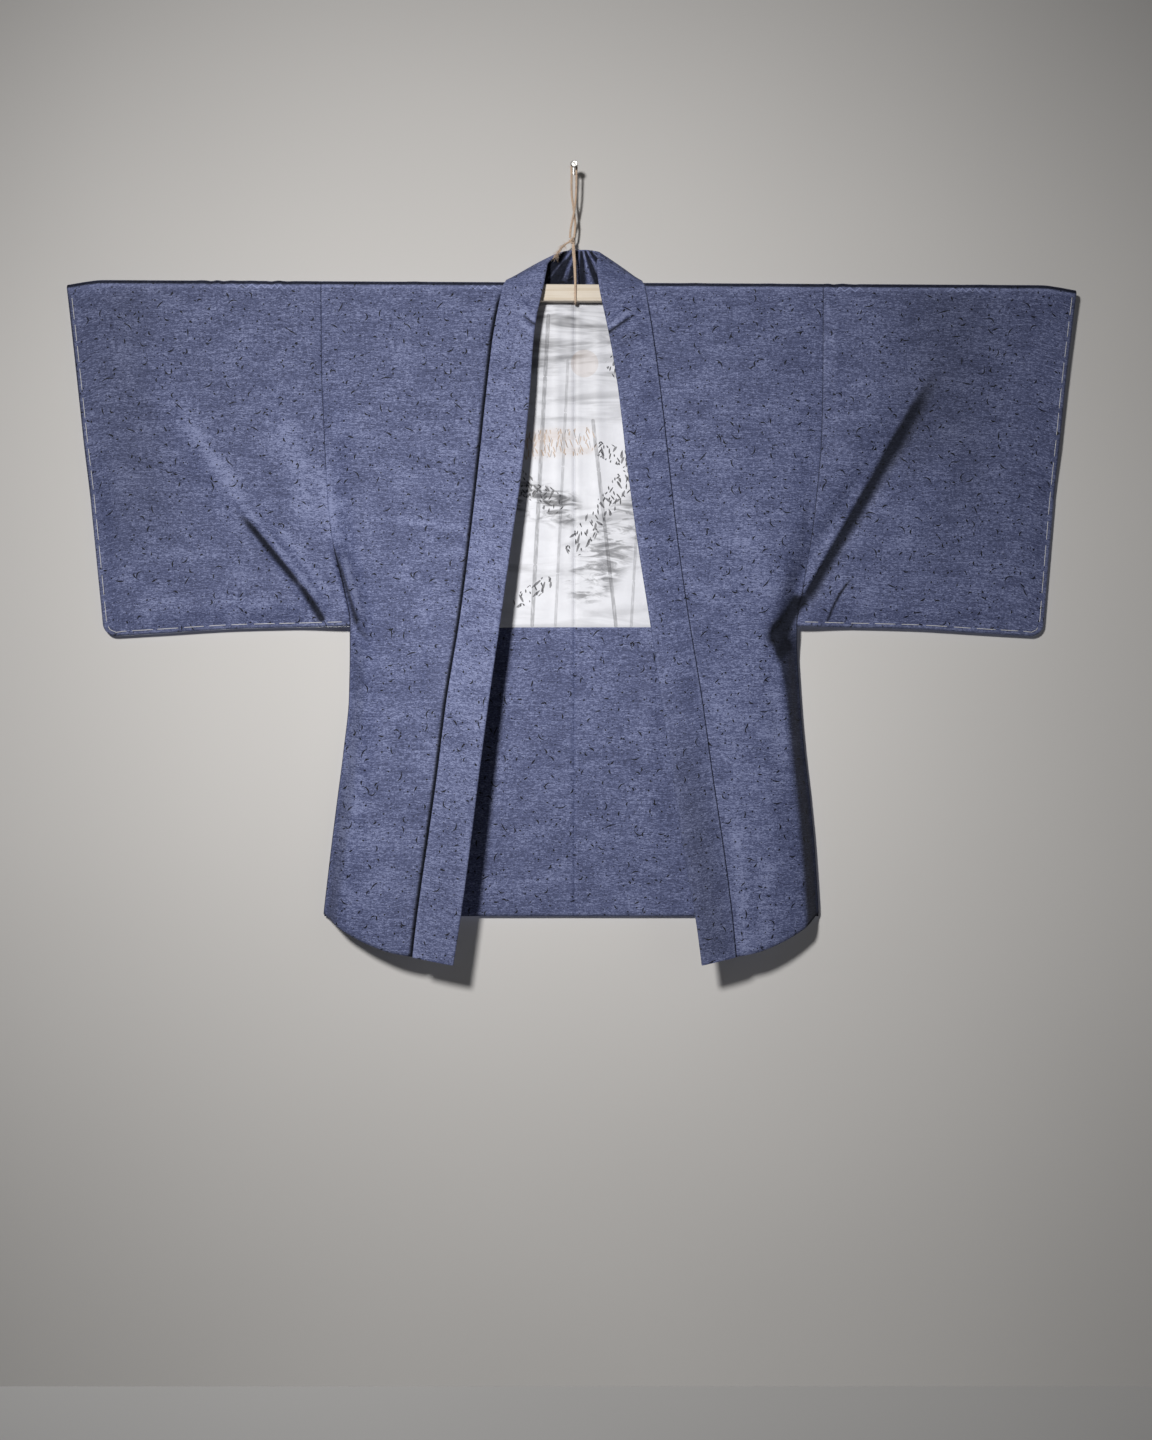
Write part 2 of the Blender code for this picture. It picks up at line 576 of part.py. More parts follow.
def make_collar(material):
    """The whole band, from the left front hem round the neck to the right front hem, in three lengths."""
    stations = [front_station(-1, z) for z in reversed(COLLAR_Z)]
    stations += [neck_station(row) for row in NECK_RUN]
    stations += [front_station(1, z) for z in COLLAR_Z]
    left_top = len(COLLAR_Z) - 2
    right_top = len(COLLAR_Z) + len(NECK_RUN) + 1
    lengths = (("left", 0, left_top), ("neck", left_top, right_top), ("right", right_top, len(stations) - 1))
    for name, first, last in lengths:
        sections = []
        for index in range(first, last):
            length = (stations[index + 1][0] - stations[index][0]).length
            length = max(length, (stations[index + 1][1] - stations[index][1]).length)
            steps = max(1, round(length / COLLAR_STEP)) if left_top <= index < right_top else 1
            begin = COLLAR_GAP / length if name == "right" and index == first else 0.0
            shares = [mix(begin, 1.0, step / steps) for step in range(steps)]
            sections += [collar_section(*between(stations, index, share)) for share in shares]
        end = 1.0 - COLLAR_GAP / length if name == "left" else 1.0
        sections.append(collar_section(*between(stations, last - 1, end)))
        points = [point for section in sections for point in section]
        faces = grid_faces(len(sections), len(sections[0]), lambda c, r: True)
        closed_wall("collar_" + name, points, faces, CLOTH, set(), material)


# ---------------------------------------------------------------- batten, twine and nail
def make_batten(material):
    """A flat strip of wood with eased edges, through both sleeves."""
    mesh = bpy.data.meshes.new("hanging_batten")
    shape = bmesh.new()
    bmesh.ops.create_cube(shape, size=1.0)
    bmesh.ops.scale(shape, vec=(BATTEN_LENGTH, BATTEN_DEPTH, BATTEN_HEIGHT), verts=shape.verts)
    bmesh.ops.bevel(shape, geom=shape.edges[:], offset=BATTEN_EDGE, segments=2, affect="EDGES", profile=0.5)
    shape.to_mesh(mesh)
    shape.free()
    shade_round(mesh, 40)
    batten = add_object("hanging_batten", mesh, material)
    drop = BATTEN_SLOPE * BATTEN_X
    batten.location = (BATTEN_X, -BATTEN_OUT, BATTEN_TOP - BATTEN_HEIGHT / 2 - drop)
    batten.rotation_euler = (0.0, math.atan(BATTEN_SLOPE), 0.0)
    return batten


def smooth_route(points, step):
    """Points along a smooth line through the given ones, about one step apart."""
    anchors = [Vector(point) for point in points]
    route = []
    for index in range(len(anchors) - 1):
        near = neighbours(anchors, index)
        count = max(1, round((near[2] - near[1]).length / step))
        route += [smooth_step(near, number / count) for number in range(count)]
    route.append(anchors[-1])
    return route


def make_cord(name, route, widths, material):
    """A round cord along a route; widths holds its share of the twine's diameter at each point."""
    data = bpy.data.curves.new(name, "CURVE")
    data.dimensions = "3D"
    data.bevel_depth = TWINE / 2
    data.bevel_resolution = 2
    data.use_fill_caps = True
    spline = data.splines.new("POLY")
    spline.points.add(len(route) - 1)
    for point, place, width in zip(spline.points, route, widths):
        point.co = (*place, 1.0)
        point.radius = width
    data.materials.append(material)
    cord = bpy.data.objects.new(name, data)
    bpy.context.scene.collection.objects.link(cord)
    return cord


KNOT = (-0.0030, -0.0217, -0.0955)
KNOT_RADIUS = 0.0036
KNOT_SHAPE = ((0.0, 0.35), (0.35, 0.8), (0.7, 1.0))     # along its near half, and the share of its radius
TAIL_START = 1.5          # the frayed tail is this many times as thick as the twine where it leaves the knot
TAIL_END = 0.8            # and at its end
OVER_NAIL = NAIL_SHANK / 2 + SEAM_GAP + TWINE / 2
HALF_TURN = math.sin(math.radians(45.0))

# Two strands from the knot up to the nail, crossing once on the way.
HANGER_ROUTE = (
    (-0.0052, -0.0217, -0.0914), (-0.0040, -0.0240, -0.0780), (0.0005, -0.0288, -0.0570),
    (0.0028, -0.0318, -0.0350), (OVER_NAIL, -TWINE_ON_NAIL, -0.0100), (OVER_NAIL, -TWINE_ON_NAIL, 0.0),
    (OVER_NAIL * HALF_TURN, -TWINE_ON_NAIL, OVER_NAIL * HALF_TURN), (0.0, -TWINE_ON_NAIL, OVER_NAIL),
    (-OVER_NAIL * HALF_TURN, -TWINE_ON_NAIL, OVER_NAIL * HALF_TURN), (-OVER_NAIL, -TWINE_ON_NAIL, 0.0),
    (-OVER_NAIL, -TWINE_ON_NAIL, -0.0100), (-0.0030, -0.0290, -0.0350), (0.0000, -0.0246, -0.0570),
    (0.0018, -0.0222, -0.0750), (0.0002, -0.0217, -0.0914))

SLING_X = 0.0018
SLING_TURN = BATTEN_EDGE + SEAM_GAP + TWINE / 2 + 0.0003     # bend round the batten's lower edges


def sling_corner(turn):
    """A point of the sling round the batten's lower edges, from 0 before it to 180 degrees behind it."""
    reach = BATTEN_DEPTH / 2 - BATTEN_EDGE
    centre = reach if turn < 90.0 else (-reach if turn > 90.0 else 0.0)
    angle = math.radians(turn)
    return (SLING_X, -BATTEN_OUT - centre - SLING_TURN * math.cos(angle),
            BATTEN_TOP - BATTEN_HEIGHT + BATTEN_EDGE - SLING_TURN * math.sin(angle))


# From the knot down before the batten, under it and up behind it to the knot again.
SLING_ROUTE = (
    (-0.0006, -0.0236, -0.0990), (0.0008, -0.0268, -0.1180), (0.0016, -0.0288, -0.1400),
    (SLING_X, sling_corner(0.0)[1], -0.1540), *[sling_corner(turn) for turn in (0, 30, 60, 90, 120, 150, 180)],
    (0.0016, sling_corner(180.0)[1], -0.1540), (0.0006, -0.0162, -0.1300), (-0.0012, -0.0192, -0.1100),
    (-0.0012, -0.0201, -0.0990))

# The frayed ends leave the knot down to the left.
TAIL_ROUTE = (KNOT, (-0.0095, -0.0235, -0.0990), (-0.0160, -0.0260, -0.1050), (-0.0205, -0.0270, -0.1120))


def make_twine(material):
    """Hanger, sling and the knot with its tail."""
    hanger = smooth_route(HANGER_ROUTE, TWINE * 2)
    make_cord("twine_hanger", hanger, [1.0] * len(hanger), material)
    sling = smooth_route(SLING_ROUTE, TWINE * 2)
    make_cord("twine_sling", sling, [1.0] * len(sling), material)
    tail = smooth_route(TAIL_ROUTE, TWINE)
    start = Vector(KNOT) - (Vector(TAIL_ROUTE[1]) - Vector(KNOT)).normalized() * KNOT_RADIUS
    ball = [start.lerp(Vector(KNOT), along) for along, share in KNOT_SHAPE]
    scale = KNOT_RADIUS * 2 / TWINE
    widths = [share * scale for along, share in KNOT_SHAPE] + [scale]
    widths += [mix(TAIL_START, TAIL_END, number / (len(tail) - 2)) for number in range(len(tail) - 1)]
    make_cord("twine_knot", ball + tail, widths, material)


def make_nail(material):
    """A round wire nail, point in the wall and head out."""
    half = NAIL_SHANK / 2
    head = NAIL_HEAD / 2
    profile = ((NAIL_IN, NAIL_TIP), (NAIL_IN - NAIL_POINT, half), (-NAIL_OUT + NAIL_CONE, half),
               (-NAIL_OUT + NAIL_RIM, head), (-NAIL_OUT + NAIL_EDGE, head), (-NAIL_OUT, head - NAIL_EDGE))
    points = []
    for y, radius in profile:
        for number in range(NAIL_SIDES):
            turn = 2.0 * math.pi * number / NAIL_SIDES
            points.append((radius * math.cos(turn), y, radius * math.sin(turn)))
    faces = [(ring * NAIL_SIDES + number, ring * NAIL_SIDES + (number + 1) % NAIL_SIDES,
              (ring + 1) * NAIL_SIDES + (number + 1) % NAIL_SIDES, (ring + 1) * NAIL_SIDES + number)
             for ring in range(len(profile) - 1) for number in range(NAIL_SIDES)]
    faces.append(tuple(reversed(range(NAIL_SIDES))))
    faces.append(tuple((len(profile) - 1) * NAIL_SIDES + number for number in range(NAIL_SIDES)))
    mesh = bpy.data.meshes.new("wall_nail")
    mesh.from_pydata(points, [], faces)
    mesh.update()
    shade_round(mesh, 40)
    return add_object("wall_nail", mesh, material)


def main():
    """Build every piece."""
    for item in list(bpy.data.objects):
        bpy.data.objects.remove(item, do_unlink=True)
    shell = new_material("shell_cloth", (0.127, 0.144, 0.262), 0.75)
    lining = new_material("lining_silk", (0.680, 0.680, 0.730), 0.60)
    wood = new_material("pale_wood", (0.670, 0.600, 0.490), 0.60)
    twine = new_material("jute_twine", (0.580, 0.450, 0.300), 0.90)
    steel = new_material("nail_steel", (0.510, 0.510, 0.510), 0.35, 1.0)
    for side in (-1, 1):
        make_body(side, shell)
        make_sleeve(side, shell)
        make_gusset(side, shell)
        make_back_cover("lining", side, LINING_TOP_Z, LINING_HEM_Z, LINING_ROWS, lining)
        make_back_cover("turnup", side, TURNUP_TOP_Z, BACK_HEM_Z + SEAM_GAP, TURNUP_ROWS, shell)
    make_collar(shell)
    make_batten(wood)
    make_twine(twine)
    make_nail(steel)


main()
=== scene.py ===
"""Haori jacket on a wall batten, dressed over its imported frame: cloth, lining, twine, batten and nail.

Metres, +Z up. The wall is the plane y = 0 and the jacket's front faces -Y. Left is -X and right is +X, as
seen from the front. "Out" is the distance of a cloth's middle from the wall, so y = -out.
"""
import math
from functools import reduce

import bmesh
import bpy
import numpy as np
from bpy.props import FloatProperty, FloatVectorProperty, IntProperty, PointerProperty
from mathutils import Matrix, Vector


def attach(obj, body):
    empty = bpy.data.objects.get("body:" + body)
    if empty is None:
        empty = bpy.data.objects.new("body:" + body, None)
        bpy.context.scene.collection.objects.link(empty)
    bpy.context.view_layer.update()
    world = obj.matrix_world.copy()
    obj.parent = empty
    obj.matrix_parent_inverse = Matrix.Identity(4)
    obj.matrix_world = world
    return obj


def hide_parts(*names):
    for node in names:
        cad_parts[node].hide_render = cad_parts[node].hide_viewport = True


bl_info = {
    "name": "Haori on a batten",
    "version": (1, 0, 0),
    "blender": (4, 5, 0),
    "location": "View3D > Sidebar > Haori",
    "description": "Makes a hung haori jacket with its lining, stitches, twine, batten and nail",
    "category": "Object",
}

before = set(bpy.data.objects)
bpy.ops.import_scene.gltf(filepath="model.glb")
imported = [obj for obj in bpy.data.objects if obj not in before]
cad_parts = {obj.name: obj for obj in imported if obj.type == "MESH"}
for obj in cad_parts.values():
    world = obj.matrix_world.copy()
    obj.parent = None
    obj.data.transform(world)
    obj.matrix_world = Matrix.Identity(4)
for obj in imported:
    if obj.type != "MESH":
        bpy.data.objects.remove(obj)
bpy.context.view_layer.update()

# ---------------------------------------------------------------- driving sizes, metres
CLOTH = 0.0020            # wall of the shell cloth
LINING = 0.0015           # wall of the lining and of the turned-up hem
SEAM_GAP = 0.0003         # air between two pieces that are sewn together

BATTEN_LENGTH = 1.198
BATTEN_HEIGHT = 0.0226
BATTEN_DEPTH = 0.0120
BATTEN_EDGE = 0.0020
BATTEN_X = -0.0040
BATTEN_TOP = -0.1538
BATTEN_OUT = 0.0217
BATTEN_SLOPE = 0.0054     # the batten hangs a little lower to the right
BATTEN_SAWN = (0.0008, -0.0003)   # a ring in each sawn end: how wide, and how far in

ARCH_RADIUS = 0.0045      # bend of the cloth over each upper edge of the batten
RIDGE_Z = BATTEN_TOP + SEAM_GAP + CLOTH / 2
NECK_X = 0.0884           # half of the neck hole at the shoulder
CENTRE_GAP = 0.0004
SHOULDER_X = 0.33         # nominal distance of the armhole from the middle, for the ridge's height
WRIST_X = 0.672           # the same for the cuff
UNDERARM_Z = -0.6050
BACK_HEM_Z = -0.9905
LINING_TOP_Z = -0.1600
LINING_HEM_Z = -0.6065
TURNUP_TOP_Z = LINING_HEM_Z - SEAM_GAP

CUFF_OPEN_Z = -0.4385     # the cuff is open above this level and sewn shut below it
CUFF_CORNER = 0.016       # radius of the sleeve's lower corner
CUFF_EASE = 0.080         # height over which the open cuff closes
PINCH = 0.030             # width over which the two layers come together at a closed edge
PINCH_START = 0.080       # the closed lower edge stays open this far from the armhole
EDGE_OUT = 0.0110         # middle of the closed edges
EDGE_HALF = 0.0015        # half the distance between the two layers there

COLLAR_LAP = 0.0040       # the turned-out collar covers its seam by this
COLLAR_LIFT = 0.0090      # a collar section's seam end is this much higher than its fold end
COLLAR_FOLD = 0.0018      # bend radius of the collar's fold
COLLAR_BULGE = 0.0012     # the turned-out half stands off a little between its edges

TWINE = 0.0028            # diameter
NAIL_SHANK = 0.0030       # diameter
NAIL_HEAD = 0.0090        # diameter
NAIL_OUT = 0.0455         # from the wall to the face of the head
NAIL_IN = 0.0220          # length in the wall
NAIL_POINT = 0.0050       # length of its point
NAIL_TIP = 0.0003         # radius of the point's end
NAIL_CONE = 0.0022        # the shank widens into the head this far behind the face
NAIL_RIM = 0.0012         # depth of the head's rim behind its face
NAIL_EDGE = 0.0005        # rounding of the rim
NAIL_SPLAY = 0.0002       # the rim's face is this much wider than its back
NAIL_RINGS = ((0.0007, -0.0002), (0.0009, 0.0001))     # rings in the head's face: how wide, and how far in
NAIL_FACETS = 28
TWINE_ON_NAIL = 0.0340    # where the twine loops over the nail


def table(columns, *rows):
    """Rows of numbers under named columns, as one dictionary for each row."""
    names = columns.split()
    return [dict(zip(names, row)) for row in rows]


LINE_COLUMNS = "x0 z0 x1 z1 amount width fade_in fade_out bow lean"


def lines(**groups):
    """Tables of lines in the cloth, one for each face and side, with LINE_COLUMNS."""
    return {key: table(LINE_COLUMNS, *rows) for key, rows in groups.items()}


# Side of the body: the armhole seam down to the underarm, then the side seam down to the hem.
SIDE_LINE = table(
    "z left right",
    (-0.15, 0.334, 0.329), (-0.26, 0.3333, 0.3288), (-0.35, 0.33, 0.3272), (-0.44, 0.325, 0.3195),
    (-0.5, 0.318, 0.3125), (-0.555, 0.3055, 0.304), (-0.605, 0.2965, 0.2951), (-0.7, 0.298, 0.3),
    (-0.77, 0.305, 0.306), (-0.84, 0.314, 0.314), (-0.9, 0.3215, 0.3195), (-0.99, 0.332, 0.325))

# The sleeve's outer edge.
CUFF_LINE = table(
    "z left right",
    (-0.15, 0.6712, 0.666), (-0.3, 0.656, 0.6495), (-0.45, 0.6408, 0.636), (-0.62, 0.624, 0.622))

# The sleeve's lower edge, from the armhole (u = 0) to the cuff (u = 1).
SLEEVE_BOTTOM = table("u z", (0.0, -0.605), (0.45, -0.6082), (0.78, -0.6145), (1.0, -0.6187))

# Beyond the batten's ends the sleeve's top droops.
DROOP = table("x drop", (0.0, 0.0), (0.625, 0.0), (0.645, 0.0018), (0.672, 0.0055))

# The front hem rises from the collar (u = 0) to the side (u = 1).
FRONT_HEM = table(
    "u z",
    (0.0, -1.0365), (0.25, -1.0315), (0.5, -1.0215), (0.75, -1.0065), (0.9, -0.995), (1.0, -0.987))

# The collar down each front: its fold and its free edge from the middle, and how far the fold stands out.
COLLAR_RUN = table(
    "z fold_left edge_left fold_right edge_right fold_out",
    (-0.157, 0.04, 0.0924, 0.033, 0.0924, 0.0365), (-0.18, 0.0451, 0.0975, 0.0371, 0.096, 0.04),
    (-0.22, 0.0526, 0.105, 0.0459, 0.1025, 0.043), (-0.3, 0.0582, 0.1144, 0.0589, 0.113, 0.046),
    (-0.4, 0.0682, 0.1247, 0.0703, 0.1239, 0.052), (-0.5, 0.082, 0.1356, 0.0835, 0.1349, 0.061),
    (-0.6, 0.0957, 0.1479, 0.0987, 0.1486, 0.071), (-0.7, 0.1098, 0.164, 0.1131, 0.1646, 0.078),
    (-0.8, 0.1229, 0.1763, 0.1277, 0.1782, 0.083), (-0.9, 0.1351, 0.19, 0.1422, 0.1928, 0.088),
    (-0.98, 0.1457, 0.2012, 0.1563, 0.2028, 0.092), (-1.046, 0.1558, 0.2087, 0.1649, 0.2088, 0.095))

# How far the front stands out: at the collar seam, across the panel, at the side, and along the sleeve.
FRONT_OUT = table(
    "z seam mid near side arm end cuff",
    (-0.155, 0.031, 0.031, 0.031, 0.031, 0.031, 0.031, 0.026),
    (-0.18, 0.034, 0.033, 0.032, 0.0312, 0.0305, 0.03, 0.024),
    (-0.22, 0.037, 0.036, 0.034, 0.031, 0.029, 0.0265, 0.022),
    (-0.3, 0.04, 0.039, 0.036, 0.03, 0.027, 0.024, 0.02),
    (-0.4, 0.045, 0.043, 0.038, 0.028, 0.025, 0.022, 0.018),
    (-0.5, 0.053, 0.049, 0.041, 0.026, 0.023, 0.02, 0.017),
    (-0.6, 0.064, 0.056, 0.044, 0.024, 0.021, 0.018, 0.016),
    (-0.7, 0.072, 0.064, 0.049, 0.0235, 0.021, 0.018, 0.016),
    (-0.8, 0.078, 0.07, 0.053, 0.0235, 0.021, 0.018, 0.016),
    (-0.9, 0.084, 0.076, 0.057, 0.024, 0.021, 0.018, 0.016),
    (-1.046, 0.091, 0.082, 0.061, 0.025, 0.021, 0.018, 0.016))
PANEL_STOPS = (0.0, 0.35, 0.80)     # collar seam, mid and near, across the front panel
SLEEVE_STOPS = (0.0, 0.45, 0.82, 1.0)     # side, arm, end and cuff, along the sleeve

BACK_OUT = table("z out", (-0.15, 0.009), (-0.25, 0.0082), (-0.45, 0.007), (-0.8, 0.007), (-1.0, 0.008))

# Folds in the hung cloth, a line for each: its two ends, how far it pushes the cloth outwards (negative is a
# trough), how wide it is, the shares of its length over which it fades in and out, how far it bows to its right
# and how it leans (above 0 the side to the right of the line is the steeper one). The last two may be left out.
FOLD_FREE = 0.06          # no fold reaches the batten: they fade out over this height below it
FOLDS = lines(
    front_left=(
        (0.325, -0.603, 0.456, -0.43, -0.007, 0.013, 0.15, 0.55, -0.006),
        (0.345, -0.49, 0.55, -0.27, 0.005, 0.045, 0.45, 0.5),
        (0.326, -0.47, 0.274, -0.63, -0.006, 0.012, 0.4, 0.3, 0.004),
        (0.305, -0.36, 0.31, -0.58, 0.003, 0.03, 0.5, 0.4)),
    front_right=(
        (0.248, -0.64, 0.485, -0.26, -0.008, 0.014, 0.2, 0.6, -0.008),
        (0.285, -0.53, 0.43, -0.26, 0.006, 0.035, 0.4, 0.5, -0.006),
        (0.36, -0.57, 0.53, -0.32, 0.004, 0.04, 0.4, 0.5)),
    back_left=((0.3, -0.6, 0.47, -0.4, 0.004, 0.018, 0.2, 0.6, 0.004),),
    back_right=(
        (0.295, -0.6, 0.49, -0.36, 0.004, 0.018, 0.2, 0.6, -0.004),
        (0.1, -0.65, 0.106, -0.92, 0.0025, 0.014, 0.4, 0.4)))

# The gusset's inward fold, from the underarm (w = 0) to the hem (w = 1).
GUSSET_FOLD = table("w depth", (0.0, 0.003), (0.3, 0.01), (1.0, 0.028))
GUSSET_ENDS = (0.004, 0.985)     # it stops just short of the underarm and of the hem
GUSSET_INSET = 0.0030
GUSSET_FRONT = 0.0024     # behind the front panel's middle
GUSSET_BACK = 0.0042      # before the back panel's middle, clear of the turned-up hem

# The collar round the neck, from the left front over the shoulder to the back and round to the right front:
# its fold (fx, fo, fz), its seam (gx, go, and dip below the batten's ridge) and the way its turned-out half
# faces (nx, no, nz).
NECK_RUN = table(
    "fx fo fz gx go dip nx no nz lap",
    (-0.0365, 0.031, -0.138, -0.0876, 0.0265, 0.0, -0.35, 0.7, 0.6, 0.0012),
    (-0.0335, 0.0225, -0.1245, -0.0876, 0.02, 0.0, -0.46, 0.05, 0.88, 0.0004),
    (-0.025, 0.015, -0.115, -0.0876, 0.0135, 0.0, -0.4, -0.45, 0.75, 0.0002),
    (-0.015, 0.011, -0.108, -0.08, 0.0092, 0.0037, -0.1, -0.95, 0.25, 0.004),
    (-0.004, 0.0095, -0.1055, -0.045, 0.009, 0.0037, 0.0, -1.0, 0.0, 0.004),
    (0.007, 0.0092, -0.1048, 0.0, 0.009, 0.0037, 0.0, -1.0, 0.0, 0.004),
    (0.017, 0.01, -0.105, 0.045, 0.009, 0.0037, 0.0, -1.0, 0.0, 0.004),
    (0.026, 0.0125, -0.107, 0.08, 0.0092, 0.0037, 0.1, -0.95, 0.25, 0.004),
    (0.031, 0.0175, -0.1115, 0.0876, 0.0135, 0.0, 0.4, -0.45, 0.75, 0.0002),
    (0.031, 0.0235, -0.118, 0.0876, 0.02, 0.0, 0.46, 0.05, 0.88, 0.0004),
    (0.03, 0.031, -0.133, 0.0876, 0.0265, 0.0, 0.35, 0.7, 0.6, 0.0012))


# ---------------------------------------------------------------- finer folds, only in the dressed cloth
CREASES = lines(
    front_left=(
        (0.3308, -0.602, 0.366, -0.545, -0.0042, 0.0056, 0.1, 0.3, 0.0, 0.2),
        (0.3545, -0.563, 0.454, -0.4412, -0.0042, 0.0052, 0.2, 0.45, 0.0, 0.2),
        (0.327, -0.474, 0.284, -0.613, -0.0042, 0.0056, 0.45, 0.12, 0.002, -0.2),
        (0.285, -0.61, 0.264, -0.64, -0.003, 0.006, 0.2, 0.45),
        (0.405, -0.505, 0.535, -0.26, 0.0032, 0.022, 0.35, 0.55, 0.01, -0.3),
        (0.355, -0.44, 0.39, -0.23, 0.0024, 0.02, 0.4, 0.6, 0.006, -0.2),
        (0.59, -0.56, 0.51, -0.505, 0.0014, 0.012, 0.3, 0.5, 0.003),
        (0.39, -0.58, 0.5, -0.53, 0.0016, 0.016, 0.3, 0.6, 0.004),
        (0.165, -0.215, 0.206, -0.86, 0.0008, 0.003, 0.3, 0.3, 0.003),
        (0.245, -0.67, 0.282, -0.93, 0.0022, 0.018, 0.3, 0.3, -0.004, 0.2),
        (0.22, -0.23, 0.245, -0.43, 0.0012, 0.022, 0.4, 0.5, 0.004)),
    front_right=(
        (0.2955, -0.588, 0.459, -0.2966, -0.0062, 0.0066, 0.05, 0.5, 0.0, -0.5),
        (0.252, -0.635, 0.29, -0.58, -0.0045, 0.01, 0.35, 0.3, 0.0, -0.3),
        (0.26, -0.648, 0.295, -0.62, -0.003, 0.007, 0.4, 0.3, 0.0, 0.2),
        (0.355, -0.605, 0.415, -0.545, -0.001, 0.006, 0.3, 0.6, -0.006, 0.2),
        (0.32, -0.58, 0.49, -0.3, 0.0025, 0.018, 0.25, 0.5, -0.004, -0.4),
        (0.215, -0.26, 0.23, -0.47, 0.0014, 0.022, 0.4, 0.5, 0.004),
        (0.18, -0.64, 0.215, -0.83, 0.0018, 0.018, 0.4, 0.4, 0.004),
        (0.255, -0.69, 0.28, -0.77, -0.002, 0.009, 0.3, 0.5),
        (0.23, -0.68, 0.265, -0.94, 0.0018, 0.016, 0.3, 0.3, -0.004, -0.2),
        (0.348, -0.18, 0.35, -0.42, 0.0008, 0.005, 0.25, 0.6, 0.001)),
    back_left=(
        (0.33, -0.59, 0.46, -0.46, 0.0028, 0.009, 0.15, 0.6, 0.004, 0.2),
        (0.31, -0.48, 0.28, -0.63, 0.0022, 0.009, 0.35, 0.3, 0.003),
        (0.145, -0.24, 0.165, -0.9, 0.001, 0.01, 0.3, 0.3, 0.004),
        (0.24, -0.66, 0.27, -0.94, 0.0018, 0.015, 0.3, 0.3, 0.003),
        (0.46, -0.22, 0.53, -0.47, 0.0016, 0.022, 0.4, 0.5, 0.006)),
    back_right=(
        (0.32, -0.59, 0.47, -0.42, 0.0028, 0.009, 0.15, 0.6, -0.004, 0.2),
        (0.3, -0.49, 0.27, -0.64, 0.0022, 0.009, 0.35, 0.3, -0.003),
        (0.17, -0.26, 0.15, -0.88, 0.001, 0.011, 0.3, 0.3, 0.004),
        (0.23, -0.66, 0.26, -0.94, 0.0018, 0.015, 0.3, 0.3, 0.003),
        (0.52, -0.22, 0.45, -0.49, 0.0016, 0.022, 0.4, 0.5, 0.006)),
    lining_left=(
        (0.023, -0.17, 0.022, -0.605, 0.0012, 0.0045, 0.05, 0.15, 0.001, 0.2),
        (0.048, -0.19, 0.056, -0.6, 0.001, 0.009, 0.25, 0.2, 0.002),
        (0.09, -0.63, 0.1, -0.92, 0.0012, 0.01, 0.2, 0.3, 0.003)),
    lining_right=(
        (0.0055, -0.17, 0.004, -0.605, 0.001, 0.0035, 0.05, 0.2, 0.001, -0.2),
        (0.033, -0.18, 0.035, -0.605, 0.0013, 0.006, 0.1, 0.25, 0.002),
        (0.07, -0.23, 0.078, -0.59, 0.001, 0.01, 0.3, 0.3, 0.003),
        (0.105, -0.615, 0.098, -0.84, 0.0016, 0.005, 0.1, 0.5, 0.002, 0.3)),
    collar_left=(
        (0.075, -0.176, 0.056, -0.196, 0.0022, 0.0035, 0.25, 0.35, 0.001, 0.5),
        (0.058, -0.196, 0.05, -0.225, -0.0014, 0.005, 0.3, 0.4, 0.001)),
    collar_right=(
        (0.085, -0.176, 0.043, -0.208, 0.003, 0.005, 0.2, 0.15, -0.002, 0.6),
        (0.09, -0.19, 0.062, -0.215, -0.0016, 0.006, 0.3, 0.4, -0.001)))

